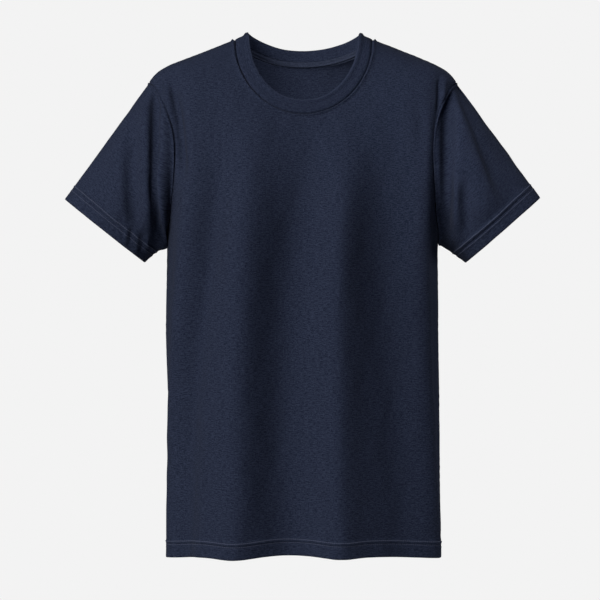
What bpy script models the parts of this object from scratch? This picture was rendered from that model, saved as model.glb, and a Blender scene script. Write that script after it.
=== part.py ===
"""Crew neck t-shirt in its worn, hollow form: six sewn pieces as thin closed walls.

Metres, +Z up.  The front faces -Y and the wearer's left is +X.  The origin is the
middle of the neck opening, level with the inner ends of the two shoulder seams.
The body is a stack of level ovals with soft hanging folds.  The front and back
panels are cut from it along the side, shoulder, armhole and neck seams, and each
sleeve is a tube from its armhole to its cuff.
"""
import math
from collections import namedtuple

import bpy
import numpy as np

# Cloth
WALL = 0.0016
HEM_EXTRA_WALL = 0.0012
RIB_WALL = 0.0026
TAPE_WALL = 0.0010
TAPE_GAP = 0.0004
SEAM_GAP = 0.0003

# Hems
HEM_DEPTH = 0.023
CUFF_DEPTH = 0.024
HEM_STEP = 0.0012
HEM_HEIGHT_FRONT = -0.7165
HEM_HEIGHT_SIDE = -0.7220
HEM_HEIGHT_BACK = -0.7190

# Body
OVAL_SQUARENESS = 0.50
FOLDS_FULL_BELOW = -0.32
YOKE_FOLD_FADE = 0.045
ARMPIT_HEIGHT = -0.286
SHOULDER_TIP_HEIGHT = -0.059
NECK_HALF_WIDTH = 0.0955
NECK_DROP_FRONT = 0.107
NECK_DROP_BACK = 0.0325
NECK_CURVE_FRONT = 1.0
NECK_CURVE_BACK = 1.5

# Neck rib and tape
RIB_WIDTH = 0.0205
RIB_LIFT_FRONT = math.radians(5)
RIB_LIFT_BACK = math.radians(38)
RIB_LIFT_FULL_AT = 0.60
RIB_CROWN = 0.0004
TAPE_ABOVE_SEAM = 0.0060
TAPE_BELOW_SEAM = 0.0058

# Sleeves
CUFF_HALF_DEPTH = 0.048
CUFF_MIDDLE_Y = -0.012
SLEEVE_FULLNESS = 0.010
SLEEVE_FOLD_FADE = 0.020
SEAM_CALM = 0.007
CUFF_CALM = (0.004, 0.050)
CUFF_FOLD_SHARE = 0.25

# How finely each piece is divided
FRONT_COLUMNS = 36
BACK_COLUMNS = 28
SIDE_ROWS = 11
ARMHOLE_ROWS = 14
SHOULDER_ROWS = 6
SLEEVE_ROWS = 11
HEM_ROWS = 2
TAPE_END_COLUMN = 3
RELAX_ROUNDS = 60
DENSE = 400

# Rays that find the body's form start on its middle plane, at this share of a point's
# distance across and no higher than the chest, and are halved down to the surface.
RAY_START_SHARE = 0.6
RAY_START_TOP = -0.14
RAY_REACH = (0.3, 2.5)
HALVINGS = 45

BodySection = namedtuple("BodySection", "height middle half_width front_depth back_depth")
BODY_SECTIONS = [
    BodySection(0.000, 0.0015, 0.0960, 0.027, 0.029),
    BodySection(-0.009, 0.0022, 0.1195, 0.031, 0.034),
    BodySection(-0.015, 0.0022, 0.1345, 0.034, 0.038),
    BodySection(-0.020, 0.0022, 0.1475, 0.036, 0.042),
    BodySection(-0.026, 0.0016, 0.1625, 0.039, 0.047),
    BodySection(-0.032, 0.0006, 0.1775, 0.042, 0.053),
    BodySection(-0.037, 0.0002, 0.1890, 0.045, 0.057),
    BodySection(-0.045, 0.0000, 0.2020, 0.050, 0.062),
    BodySection(-0.054, 0.0000, 0.2105, 0.055, 0.067),
    BodySection(-0.059, 0.0000, 0.2138, 0.058, 0.070),
    BodySection(-0.080, 0.0000, 0.2138, 0.069, 0.080),
    BodySection(-0.107, 0.0000, 0.2085, 0.082, 0.091),
    BodySection(-0.140, 0.0000, 0.2030, 0.095, 0.102),
    BodySection(-0.180, 0.0000, 0.1985, 0.107, 0.110),
    BodySection(-0.220, 0.0000, 0.1950, 0.114, 0.111),
    BodySection(-0.260, 0.0000, 0.1910, 0.117, 0.108),
    BodySection(-0.300, -0.0004, 0.1889, 0.117, 0.104),
    BodySection(-0.400, -0.0008, 0.1902, 0.115, 0.099),
    BodySection(-0.500, 0.0014, 0.1892, 0.113, 0.098),
    BodySection(-0.600, 0.0032, 0.1880, 0.112, 0.101),
    BodySection(-0.690, 0.0032, 0.1896, 0.112, 0.105),
    BodySection(-0.730, 0.0031, 0.1890, 0.112, 0.106),
]

# The armhole seam as girth angles from the panel's centre line, in degrees, at turns
# round the armhole from the shoulder tip (0) to the armpit (180).
ArmholePoint = namedtuple("ArmholePoint", "turn front_angle back_angle")
ARMHOLE = [
    ArmholePoint(0, 90.0, 90.0),
    ArmholePoint(30, 70.5, 73.0),
    ArmholePoint(50, 63.8, 68.5),
    ArmholePoint(75, 61.2, 67.5),
    ArmholePoint(90, 62.2, 68.5),
    ArmholePoint(110, 66.3, 71.0),
    ArmholePoint(135, 75.2, 77.5),
    ArmholePoint(155, 82.9, 83.5),
    ArmholePoint(180, 90.0, 90.0),
]

# Hanging folds of the body: where the line of each lies across the body at five
# heights, how far it stands out (or in, below zero), how wide it spreads, the height
# at which it has faded out above, and how far the hem hangs lower on it.
FOLD_HEIGHTS = (-0.18, -0.31, -0.43, -0.56, -0.72)
BodyFold = namedtuple("BodyFold", "face yoke chest waist hip hem rise spread fades_at dip")
BODY_FOLDS = [
    BodyFold("front", -0.153, -0.164, -0.173, -0.179, -0.182, 0.0085, 0.022, -0.03, 0.0013),
    BodyFold("front", -0.114, -0.131, -0.148, -0.160, -0.166, -0.0115, 0.026, -0.06, -0.0013),
    BodyFold("front", -0.075, -0.082, -0.086, -0.089, -0.094, 0.0115, 0.028, 0.00, 0.0040),
    BodyFold("front", 0.003, -0.014, -0.024, -0.026, -0.018, -0.0115, 0.030, -0.08, -0.0016),
    BodyFold("front", 0.058, 0.052, 0.050, 0.051, 0.052, 0.0130, 0.023, -0.07, 0.0026),
    BodyFold("front", 0.121, 0.117, 0.123, 0.133, 0.140, -0.0130, 0.040, 0.00, 0.0002),
    BodyFold("front", 0.170, 0.163, 0.165, 0.172, 0.180, 0.0105, 0.021, -0.02, 0.0012),
    BodyFold("back", -0.140, -0.150, -0.158, -0.160, -0.163, 0.0085, 0.028, -0.06, 0.0012),
    BodyFold("back", -0.088, -0.095, -0.105, -0.108, -0.112, -0.0095, 0.030, -0.08, -0.0014),
    BodyFold("back", -0.040, -0.044, -0.052, -0.055, -0.060, 0.0105, 0.029, -0.05, 0.0015),
    BodyFold("back", 0.012, 0.008, 0.004, 0.002, 0.004, -0.0085, 0.032, -0.10, -0.0012),
    BodyFold("back", 0.070, 0.062, 0.066, 0.064, 0.060, 0.0110, 0.031, -0.06, 0.0016),
    BodyFold("back", 0.116, 0.114, 0.120, 0.118, 0.110, -0.0095, 0.027, -0.07, -0.0013),
    BodyFold("back", 0.160, 0.158, 0.160, 0.163, 0.160, 0.0085, 0.026, -0.08, 0.0012),
]

# Short folds near the armholes, each between an upper and a lower end.
ShortFold = namedtuple("ShortFold", "face top top_x low low_x rise spread")
YOKE_FOLDS = [
    ShortFold("front", -0.045, -0.181, -0.215, -0.160, -0.0055, 0.010),
    ShortFold("front", -0.060, 0.160, -0.160, 0.166, -0.0028, 0.011),
    ShortFold("back", -0.070, -0.158, -0.220, -0.166, -0.0034, 0.014),
    ShortFold("back", -0.080, 0.162, -0.200, 0.168, -0.0030, 0.013),
]

# Sleeves: the cuff's outer and inner corners as seen from the front.
Sleeve = namedtuple("Sleeve", "name side tip_x tip_z under_x under_z")
SLEEVES = [
    Sleeve("sleeve_right", -1, 0.3320, -0.2235, 0.2220, -0.3108),
    Sleeve("sleeve_left", 1, 0.3315, -0.2215, 0.2285, -0.3113),
]

# Sleeve folds: the line of each as distances from the centre plane at three heights.
SleeveFold = namedtuple("SleeveFold", "sleeve face top_z top_x mid_z mid_x low_z low_x rise spread")
SLEEVE_FOLDS = [
    SleeveFold("sleeve_right", "front", -0.075, 0.202, -0.180, 0.200, -0.275, 0.196, -0.0090, 0.0090),
    SleeveFold("sleeve_right", "front", -0.085, 0.217, -0.180, 0.217, -0.262, 0.214, 0.0055, 0.0110),
    SleeveFold("sleeve_right", "front", -0.140, 0.236, -0.190, 0.234, -0.262, 0.230, -0.0060, 0.0110),
    SleeveFold("sleeve_right", "front", -0.130, 0.252, -0.185, 0.254, -0.255, 0.253, 0.0060, 0.0180),
    SleeveFold("sleeve_right", "back", -0.085, 0.206, -0.190, 0.204, -0.270, 0.196, -0.0070, 0.0120),
    SleeveFold("sleeve_right", "back", -0.110, 0.226, -0.190, 0.232, -0.270, 0.240, 0.0055, 0.0170),
    SleeveFold("sleeve_right", "back", -0.150, 0.256, -0.210, 0.268, -0.270, 0.276, -0.0036, 0.0170),
    SleeveFold("sleeve_left", "front", -0.065, 0.202, -0.160, 0.199, -0.270, 0.195, -0.0095, 0.0095),
    SleeveFold("sleeve_left", "front", -0.085, 0.214, -0.160, 0.238, -0.250, 0.262, 0.0065, 0.0190),
    SleeveFold("sleeve_left", "front", -0.205, 0.211, -0.236, 0.211, -0.275, 0.214, 0.0030, 0.0080),
    SleeveFold("sleeve_left", "front", -0.205, 0.223, -0.236, 0.225, -0.275, 0.229, -0.0034, 0.0090),
    SleeveFold("sleeve_left", "front", -0.150, 0.262, -0.200, 0.284, -0.255, 0.302, -0.0036, 0.0170),
    SleeveFold("sleeve_left", "back", -0.080, 0.205, -0.180, 0.203, -0.265, 0.196, -0.0075, 0.0120),
    SleeveFold("sleeve_left", "back", -0.100, 0.222, -0.190, 0.236, -0.270, 0.246, 0.0055, 0.0190),
    SleeveFold("sleeve_left", "back", -0.170, 0.262, -0.220, 0.276, -0.265, 0.288, -0.0034, 0.0160),
]

# Looks
Finish = namedtuple("Finish", "red green blue roughness")
JERSEY = Finish(0.016, 0.020, 0.037, 0.92)
RIB = Finish(0.015, 0.019, 0.035, 0.90)
TAPE = Finish(0.017, 0.021, 0.038, 0.90)


# ---------------------------------------------------------------- curves and vectors
def values(rows, name):
    """One named column of a table."""
    return np.array([getattr(row, name) for row in rows], float)


def smooth(knots, heights, at):
    """Monotone cubic curve through a table's points, level past its ends."""
    order = np.argsort(knots)
    x, y = np.asarray(knots, float)[order], np.asarray(heights, float)[order]
    step = np.diff(x)
    secant = np.diff(y) / step
    before, after = secant[:-1], secant[1:]
    turning = before * after <= 0
    weight_before = step[:-1] + 2 * step[1:]
    weight_after = 2 * step[:-1] + step[1:]
    safe_before = np.where(turning, 1.0, before)
    safe_after = np.where(turning, 1.0, after)
    mean = (weight_before + weight_after) / (weight_before / safe_before + weight_after / safe_after)
    slope = np.concatenate([secant[:1], np.where(turning, 0.0, mean), secant[-1:]])
    at = np.clip(at, x[0], x[-1])
    cell = np.clip(np.searchsorted(x, at) - 1, 0, len(step) - 1)
    t = (at - x[cell]) / step[cell]
    start = (1 + 2 * t) * (1 - t) ** 2 * y[cell] + t * (1 - t) ** 2 * step[cell] * slope[cell]
    end = t * t * (3 - 2 * t) * y[cell + 1] + t * t * (t - 1) * step[cell] * slope[cell + 1]
    return start + end


def ramp(low, high, at):
    """0 below low, 1 above high, and a soft step between."""
    t = np.clip((at - low) / (high - low), 0, 1)
    return t * t * (3 - 2 * t)


def unit(vectors):
    return vectors / np.maximum(np.linalg.norm(vectors, axis=-1, keepdims=True), 1e-12)


def even_parts(points, count):
    """Positions along a dense line that divide its length into equal parts."""
    length = np.concatenate([[0], np.cumsum(np.linalg.norm(np.diff(points, axis=0), axis=1))])
    return np.interp(np.linspace(0, length[-1], count + 1), length, np.linspace(0, 1, len(length)))


def resample(samples, places):
    """Read an array of samples at fractions of its index range."""
    index = np.linspace(0, 1, len(samples))
    return np.interp(places, index, samples)


# ---------------------------------------------------------------- the body's form
def section(height):
    """Middle, half width, front depth and back depth of the level oval at a height."""
    knots = values(BODY_SECTIONS, "height")
    return [smooth(knots, values(BODY_SECTIONS, name), height) for name in BodySection._fields[1:]]


def body_form(angle, height):
    """Smooth outer form.  Angle 0 is the front centre, a quarter turn the left side."""
    middle, half_width, front, back = section(height)
    sine, cosine = np.sin(angle), np.cos(angle)
    depth = np.where(cosine > 0, front, back)
    y = -depth * cosine * (1 + OVAL_SQUARENESS * sine ** 2)
    return np.stack([middle + half_width * sine, y, height + 0 * sine], axis=-1)


def girth_angle(face, across, half_width):
    """Angle round the body of a place across its front or back."""
    turned = np.arcsin(np.clip(across / half_width, -1, 1))
    return turned if face == "front" else math.pi - turned


def bump(angle, centre, arm, spread):
    """Soft ridge of height 1 along a line at the given girth angle."""
    apart = (angle - centre + math.pi) % (2 * math.pi) - math.pi
    return np.exp(-(apart * arm / spread) ** 2)


def body_folds(angle, height):
    """How far the cloth stands out from the smooth form, and how far the hem hangs low."""
    middle, half_width, front, back = section(height)
    arm = (half_width + np.where(np.cos(angle) > 0, front, back)) / 2
    rise = 0 * angle * height
    dip = 0 * rise
    for fold in BODY_FOLDS:
        across = smooth(FOLD_HEIGHTS, fold[1:6], height)
        strength = 1 - ramp(FOLDS_FULL_BELOW, fold.fades_at, height)
        centre = girth_angle(fold.face, across - middle, half_width)
        ridge = strength * bump(angle, centre, arm, fold.spread)
        rise, dip = rise + fold.rise * ridge, dip + fold.dip * ridge
    for fold in YOKE_FOLDS:
        across = np.interp(height, [fold.low, fold.top], [fold.low_x, fold.top_x])
        strength = ramp(fold.low, fold.low + YOKE_FOLD_FADE, height)
        strength = strength * (1 - ramp(fold.top - YOKE_FOLD_FADE, fold.top, height))
        centre = girth_angle(fold.face, across - middle, half_width)
        rise = rise + fold.rise * strength * bump(angle, centre, arm, fold.spread)
    return rise, dip


def body_surface(angle, height):
    """Outer surface with its folds, which push straight out of the level oval."""
    here = body_form(angle, height)
    along = body_form(angle + 1e-4, height) - here
    outward = unit(np.stack([along[..., 1], -along[..., 0], 0 * along[..., 2]], axis=-1))
    return here + body_folds(angle, height)[0][..., None] * outward


def body_normal(angle, height):
    here = body_surface(angle, height)
    around = body_surface(angle + 1e-3, height) - body_surface(angle - 1e-3, height)
    upward = here - body_surface(angle, height - 2e-4)
    return unit(np.cross(around, upward))


def body_holds(points):
    """Which points lie inside the smooth form."""
    x, y, z = points[..., 0], points[..., 1], points[..., 2]
    middle, half_width, front, back = section(z)
    sine = np.clip((x - middle) / half_width, -1, 1)
    reach = np.where(y < 0, front, back) * np.sqrt(1 - sine ** 2) * (1 + OVAL_SQUARENESS * sine ** 2)
    return (np.abs(sine) < 1) & (np.abs(y) < reach) & (z < 0)


def onto_body(points):
    """Slide points along rays from the middle of the body until they meet its form."""
    start_x = RAY_START_SHARE * points[..., 0]
    start = np.stack([start_x, 0 * start_x, np.minimum(points[..., 2], RAY_START_TOP)], axis=-1)
    ray = points - start
    low, high = (np.full(points.shape[:-1], reach) for reach in RAY_REACH)
    for _ in range(HALVINGS):
        trial = (low + high) / 2
        inside = body_holds(start + trial[..., None] * ray)
        low, high = np.where(inside, trial, low), np.where(inside, high, trial)
    place = start + low[..., None] * ray
    middle, half_width, front, back = section(place[..., 2])
    sine = np.clip((place[..., 0] - middle) / half_width, -1, 1)
    reach = np.where(place[..., 1] < 0, front, back) * (1 + OVAL_SQUARENESS * sine ** 2)
    return np.arctan2(sine, -place[..., 1] / reach) % (2 * math.pi), place[..., 2]


# ---------------------------------------------------------------- seam lines
def hem_line(face, count):
    """Girth angles and heights along a panel's hem, from one side seam to the other."""
    middle = 0.0 if face == "front" else math.pi
    level = HEM_HEIGHT_FRONT if face == "front" else HEM_HEIGHT_BACK
    angle = middle + np.linspace(-math.pi / 2, math.pi / 2, DENSE)
    places = even_parts(body_form(angle, np.full(DENSE, level)), count)
    angle = resample(angle, places)
    side_share = np.sin(angle) ** 4
    height = level + (HEM_HEIGHT_SIDE - level) * side_share
    height = height - body_folds(angle, height)[1] * (1 - side_share)
    return angle, height


def side_line(face):
    """Turn from the panel's centre line and height, from the hem up the side seam,
    the armhole and the shoulder seam, with the row fractions of the three parts."""
    hem_rows = np.array([0, HEM_DEPTH, HEM_DEPTH + HEM_STEP])
    side_rows = np.linspace(HEM_HEIGHT_SIDE + hem_rows[-1], ARMPIT_HEIGHT, SIDE_ROWS)
    side_height = np.concatenate([HEM_HEIGHT_SIDE + hem_rows[:-1], side_rows])
    side_angle = np.full(len(side_height), math.pi / 2)

    turn = np.linspace(math.pi, 0, DENSE)
    middle, reach = (SHOULDER_TIP_HEIGHT + ARMPIT_HEIGHT) / 2, (SHOULDER_TIP_HEIGHT - ARMPIT_HEIGHT) / 2
    arm_height = middle + reach * np.cos(turn)
    table = values(ARMHOLE, "front_angle" if face == "front" else "back_angle")
    arm_angle = np.radians(smooth(values(ARMHOLE, "turn"), table, np.degrees(turn)))
    facing = arm_angle if face == "front" else math.pi - arm_angle
    places = even_parts(body_form(facing, arm_height), ARMHOLE_ROWS)[1:]
    arm_angle, arm_height = resample(arm_angle, places), resample(arm_height, places)

    top_height = np.linspace(SHOULDER_TIP_HEIGHT, 0, DENSE)
    places = even_parts(body_form(np.full(DENSE, math.pi / 2), top_height), SHOULDER_ROWS)[1:]
    top_height = resample(top_height, places)
    top_angle = np.full(len(top_height), math.pi / 2)
    return (np.concatenate([side_angle, arm_angle, top_angle]),
            np.concatenate([side_height, arm_height, top_height]))


def neck_line(face, count):
    """Girth angles and heights along a panel's neckline, from one shoulder seam to the other."""
    drop, curve = NECK_DROP_FRONT, NECK_CURVE_FRONT
    if face == "back":
        drop, curve = NECK_DROP_BACK, NECK_CURVE_BACK
    across = np.linspace(-1, 1, 2 * DENSE + 1)
    fall = np.sin(math.pi / 2 * (1 - np.abs(across))) ** 2
    x = np.sign(across) * NECK_HALF_WIDTH * np.sqrt(1 - fall ** 2)
    height = -drop * fall ** curve
    middle, half_width = section(height)[:2]
    neck_middle = section(0.0)[0]
    angle = np.arcsin(np.clip((neck_middle + x - middle) / half_width, -1, 1))
    if face == "back":
        angle = math.pi + angle
    places = even_parts(body_form(angle, height), count)
    return resample(angle, places), resample(height, places)


# ---------------------------------------------------------------- panels
Panel = namedtuple("Panel", "angle height outer normal")


def panel_grid(face, columns):
    """Grid of girth angles and heights over a panel: rows go up from hem to neckline,
    blended between the panel's four edges and laid back onto the body."""
    middle = 0.0 if face == "front" else math.pi
    hem_angle, hem_height = hem_line(face, columns)
    neck_angle, neck_height = neck_line(face, columns)
    side_turn, side_height = side_line(face)

    hem, neck = body_form(hem_angle, hem_height), body_form(neck_angle, neck_height)
    first = body_form(middle - side_turn, side_height)
    last = body_form(middle + side_turn, side_height)
    length = np.concatenate([[0], np.cumsum(np.linalg.norm(np.diff(first, axis=0), axis=1))])
    v = (length / length[-1])[:, None, None]
    u = np.linspace(0, 1, columns + 1)[None, :, None]
    blend = ((1 - v) * hem[None] + v * neck[None] + (1 - u) * first[:, None] + u * last[:, None]
             - (1 - u) * (1 - v) * hem[0] - u * (1 - v) * hem[-1]
             - (1 - u) * v * neck[0] - u * v * neck[-1])
    inner = slice(1, -1)
    low = HEM_ROWS + 1
    for _ in range(RELAX_ROUNDS):
        below, above = blend[low - 1:-2, inner], blend[low + 1:, inner]
        beside = blend[low:-1, :-2] + blend[low:-1, 2:]
        blend[low:-1, inner] = body_form(*onto_body((below + above + beside) / 4))
    angle, height = onto_body(blend)

    for row in range(low):
        angle[row], height[row] = hem_angle, hem_height + side_height[row] - HEM_HEIGHT_SIDE
    angle[-1], height[-1] = neck_angle, neck_height
    angle[:, 0], height[:, 0] = middle - side_turn, side_height
    angle[:, -1], height[:, -1] = middle + side_turn, side_height
    return Panel(angle, height, body_surface(angle, height), body_normal(angle, height))


ARMPIT_ROW = HEM_ROWS + SIDE_ROWS - 1
TIP_ROW = ARMPIT_ROW + ARMHOLE_ROWS


# ---------------------------------------------------------------- sleeves
def armhole_loop(side, front, back):
    """Seam points round an armhole: down the front from the shoulder tip, up the back."""
    front_column, back_column = (-1, 0) if side > 0 else (0, -1)
    down = slice(TIP_ROW, ARMPIT_ROW, -1)
    up = slice(ARMPIT_ROW, TIP_ROW)
    points = np.concatenate([front.outer[down, front_column], back.outer[up, back_column]])
    normals = np.concatenate([front.normal[down, front_column], back.normal[up, back_column]])
    return points, normals


def sleeve_lines(sleeve, root):
    """Where each line of the sleeve starts and ends, and its turn round the arm."""
    count = len(root)
    turn = np.linspace(0, 2 * math.pi, count, endpoint=False)[:, None]
    tip = np.array([sleeve.side * sleeve.tip_x, CUFF_MIDDLE_Y, sleeve.tip_z])
    under = np.array([sleeve.side * sleeve.under_x, CUFF_MIDDLE_Y, sleeve.under_z])
    depth = np.array([0, -CUFF_HALF_DEPTH, 0])
    cuff = (tip + under) / 2 + (tip - under) / 2 * np.cos(turn) + depth * np.sin(turn)
    return root, cuff, turn[:, 0]


def sleeve_folds(sleeve, points, turn, from_root, from_cuff):
    """How far the sleeve's cloth stands out at each point."""
    out, height = np.abs(points[..., 0]), points[..., 2]
    total = 0 * out
    for fold in SLEEVE_FOLDS:
        if fold.sleeve != sleeve.name:
            continue
        facing = np.sin(turn) if fold.face == "front" else -np.sin(turn)
        line = smooth([fold.low_z, fold.mid_z, fold.top_z], [fold.low_x, fold.mid_x, fold.top_x], height)
        window = ramp(fold.low_z - SLEEVE_FOLD_FADE, fold.low_z + SLEEVE_FOLD_FADE, height)
        window = window * (1 - ramp(fold.top_z - SLEEVE_FOLD_FADE, fold.top_z + SLEEVE_FOLD_FADE, height))
        window = window * ramp(0.0, 0.5, facing)
        total = total + fold.rise * window * np.exp(-((out - line) / fold.spread) ** 2)
    near_cuff = CUFF_FOLD_SHARE + (1 - CUFF_FOLD_SHARE) * ramp(*CUFF_CALM, from_cuff)
    return total * ramp(0, SEAM_CALM, from_root) * near_cuff


def grid_normal(points, side):
    """Outward normals of a sleeve grid that is closed round its columns."""
    around = np.roll(points, -1, axis=1) - np.roll(points, 1, axis=1)
    along = np.gradient(points, axis=0)
    return unit(np.cross(around, along)) * side


def sleeve_grid(sleeve, root):
    """Outer points from armhole (row 0) to cuff (last row), and their normals."""
    start, end, turn = sleeve_lines(sleeve, root)
    length = np.linalg.norm(end - start, axis=1)
    band = 1 - (CUFF_DEPTH + HEM_STEP) / length
    share = np.linspace(0, 1, SLEEVE_ROWS + 1)[:, None] * band
    share = np.concatenate([share, 1 - CUFF_DEPTH / length[None], np.ones((1, len(root)))])
    straight = start + share[..., None] * (end - start)
    swell = SLEEVE_FULLNESS * np.sin(turn) ** 2 * np.sin(math.pi * share ** 0.8)
    normal = grid_normal(straight, sleeve.side)
    full = straight + swell[..., None] * normal
    normal = grid_normal(full, sleeve.side)
    rise = sleeve_folds(sleeve, full, turn, share * length, (1 - share) * length)
    folded = full + rise[..., None] * normal
    return folded, grid_normal(folded, sleeve.side), (1 - share) * length


# ---------------------------------------------------------------- meshes
def finish(name, look):
    material = bpy.data.materials.new(name)
    material.use_nodes = True
    shader = material.node_tree.nodes["Principled BSDF"]
    shader.inputs["Base Color"].default_value = (look.red, look.green, look.blue, 1)
    shader.inputs["Roughness"].default_value = look.roughness
    shader.inputs["Metallic"].default_value = 0.0
    return material


def add_object(name, vertices, faces, material):
    mesh = bpy.data.meshes.new(name)
    mesh.from_pydata(vertices.tolist(), [], faces.tolist())
    mesh.update()
    mesh.shade_smooth()
    mesh.materials.append(material)
    part = bpy.data.objects.new(name, mesh)
    bpy.context.scene.collection.objects.link(part)
    return part


def cells(index, closed):
    """Pairs of triangles between neighbouring rows and columns of a grid of indices."""
    if closed:
        index = np.concatenate([index, index[:, :1]], axis=1)
    corner, right, across, up = index[:-1, :-1], index[:-1, 1:], index[1:, 1:], index[1:, :-1]
    lower, upper = np.stack([corner, right, across], axis=-1), np.stack([corner, across, up], axis=-1)
    return np.concatenate([lower.reshape(-1, 3), upper.reshape(-1, 3)])


def wall(name, outer, inner, material, closed=False, flip=False):
    """Closed wall between two matching grids of points, with its rims filled."""
    rows, columns = outer.shape[:2]
    outside = np.arange(rows * columns).reshape(rows, columns)
    inside = outside + rows * columns
    parts = [cells(outside, closed), cells(inside, closed)[:, ::-1]]
    rims = [np.stack([inside[0], outside[0]]), np.stack([outside[-1], inside[-1]])]
    parts += [cells(rim, closed) for rim in rims]
    if not closed:
        parts.append(cells(np.stack([outside[:, 0], inside[:, 0]]), False))
        parts.append(cells(np.stack([inside[:, -1], outside[:, -1]]), False))
    faces = np.concatenate(parts)
    if flip:
        faces = faces[:, ::-1]
    vertices = np.concatenate([outer.reshape(-1, 3), inner.reshape(-1, 3)])
    return add_object(name, vertices, faces, material)


def mitre(first_normal, second_normal):
    """Common direction through the walls of two pieces that meet at a seam."""
    return unit(first_normal + second_normal)


def through(direction, normal, thickness):
    """Step inward along a seam's mitre that keeps the wall's thickness."""
    lean = np.maximum((direction * normal).sum(axis=-1, keepdims=True), 0.5)
    return -direction * thickness / lean


def main():
    for thing in list(bpy.data.objects):
        bpy.data.objects.remove(thing, do_unlink=True)
    jersey, rib_look, tape_look = finish("jersey", JERSEY), finish("rib", RIB), finish("tape", TAPE)
    half_gap = SEAM_GAP / 2

    front, back = panel_grid("front", FRONT_COLUMNS), panel_grid("back", BACK_COLUMNS)
    thickness = np.full((front.outer.shape[0], 1, 1), WALL)
    thickness[:HEM_ROWS] += HEM_EXTRA_WALL
    inward = {"front": -front.normal * thickness, "back": -back.normal * thickness}
    moved = {"front": np.zeros_like(front.outer), "back": np.zeros_like(back.outer)}

    # side and shoulder seams
    for face, way in (("front", -1), ("back", 1)):
        for column in (0, -1):
            moved[face][:ARMPIT_ROW + 1, column, 1] += way * half_gap
            moved[face][TIP_ROW:, column, 1] += way * half_gap

    # armhole seams and sleeves
    for sleeve in SLEEVES:
        root, body_side = armhole_loop(sleeve.side, front, back)
        grid, normal, from_cuff = sleeve_grid(sleeve, root)
        shared = mitre(body_side, normal[0])
        along = unit(np.roll(root, -1, axis=0) - np.roll(root, 1, axis=0))
        away = unit(np.cross(along, shared)) * sleeve.side
        away = away * np.sign((away * (grid[2] - root)).sum(axis=-1, keepdims=True))
        layers = np.where(from_cuff < CUFF_DEPTH + HEM_STEP / 2, WALL + HEM_EXTRA_WALL, WALL)[..., None]
        inner_step = -normal * layers
        inner_step[0] = through(shared, normal[0], WALL)
        outer = grid.copy()
        outer[0] += half_gap * away
        wall(sleeve.name, outer, outer + inner_step, jersey, closed=True, flip=sleeve.side < 0)

        front_column, back_column = (-1, 0) if sleeve.side > 0 else (0, -1)
        down = np.arange(TIP_ROW, ARMPIT_ROW - 1, -1)
        up = np.arange(ARMPIT_ROW, TIP_ROW + 1)
        front_part = np.arange(0, ARMHOLE_ROWS + 1)
        back_part = np.arange(ARMHOLE_ROWS, 2 * ARMHOLE_ROWS + 1) % (2 * ARMHOLE_ROWS)
        for face, column, rows, part in (("front", front_column, down, front_part),
                                         ("back", back_column, up, back_part)):
            moved[face][rows, column] -= half_gap * away[part]
            inward[face][rows, column] = through(shared[part], body_side[part], WALL)

    # neck seam
    seam = np.concatenate([front.outer[-1, :-1], back.outer[-1, :-1]])
    seam_normal = np.concatenate([front.normal[-1, :-1], back.normal[-1, :-1]])
    along = unit(np.roll(seam, -1, axis=0) - np.roll(seam, 1, axis=0))
    to_neck = unit(np.cross(seam_normal, along))
    around_front = np.arange(FRONT_COLUMNS + 1)
    around_back = np.arange(FRONT_COLUMNS, FRONT_COLUMNS + BACK_COLUMNS + 1) % len(seam)
    moved["front"][-1] -= half_gap * to_neck[around_front]
    moved["back"][-1] -= half_gap * to_neck[around_back]

    panels = {}
    for name, face, panel in (("front_panel", "front", front), ("back_panel", "back", back)):
        outer = panel.outer + moved[face]
        panels[face] = (outer, outer + inward[face])
        wall(name, *panels[face], jersey)

    # neck rib: a folded band, as a ring of rounded profiles
    behind = ramp(0.0, RIB_LIFT_FULL_AT * seam[:, 1].max(), seam[:, 1])[:, None]
    lift = RIB_LIFT_FRONT + (RIB_LIFT_BACK - RIB_LIFT_FRONT) * behind
    up_rib = to_neck * np.cos(lift) + seam_normal * np.sin(lift)
    out_rib = seam_normal * np.cos(lift) - to_neck * np.sin(lift)
    foot = seam + half_gap * to_neck
    nose = RIB_WALL / 2
    profile = [(0.5, RIB_CROWN), (1 - 0.6 * nose / RIB_WIDTH, 0.0), (1.0, -nose),
               (1 - 0.6 * nose / RIB_WIDTH, -RIB_WALL), (0.5, -RIB_WALL)]
    rings = [foot] + [foot + up_rib * RIB_WIDTH * part + out_rib * out for part, out in profile]
    rings.append(foot - seam_normal * RIB_WALL)
    ring_points = np.stack(rings)
    rib_index = np.arange(ring_points.shape[0] * len(seam)).reshape(ring_points.shape[0], len(seam))
    rib_faces = cells(np.concatenate([rib_index, rib_index[:1]]), True)
    add_object("neck_rib", ring_points.reshape(-1, 3), rib_faces, rib_look)

    # neck tape: laid over the back neck seam from the inner points of the rib and the panel
    inside = slice(TAPE_END_COLUMN, BACK_COLUMNS + 1 - TAPE_END_COLUMN)
    back_seam = around_back[inside]
    rib_foot, rib_middle = rings[-1][back_seam], rings[-2][back_seam]
    panel_edge, panel_below = panels["back"][1][-1, inside], panels["back"][1][-2, inside]
    upper = rib_foot + unit(rib_middle - rib_foot) * TAPE_ABOVE_SEAM
    lower = panel_edge + unit(panel_below - panel_edge) * TAPE_BELOW_SEAM
    off_panel, off_rib = -seam_normal[back_seam], -out_rib[back_seam]
    inner_way = np.stack([off_panel, mitre(off_panel, off_rib), off_rib])
    face_to_seam = np.stack([lower, rib_foot, upper]) + inner_way * TAPE_GAP
    wall("neck_tape", face_to_seam, face_to_seam + inner_way * TAPE_WALL, tape_look)


main()
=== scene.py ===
import math
from collections import namedtuple

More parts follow.
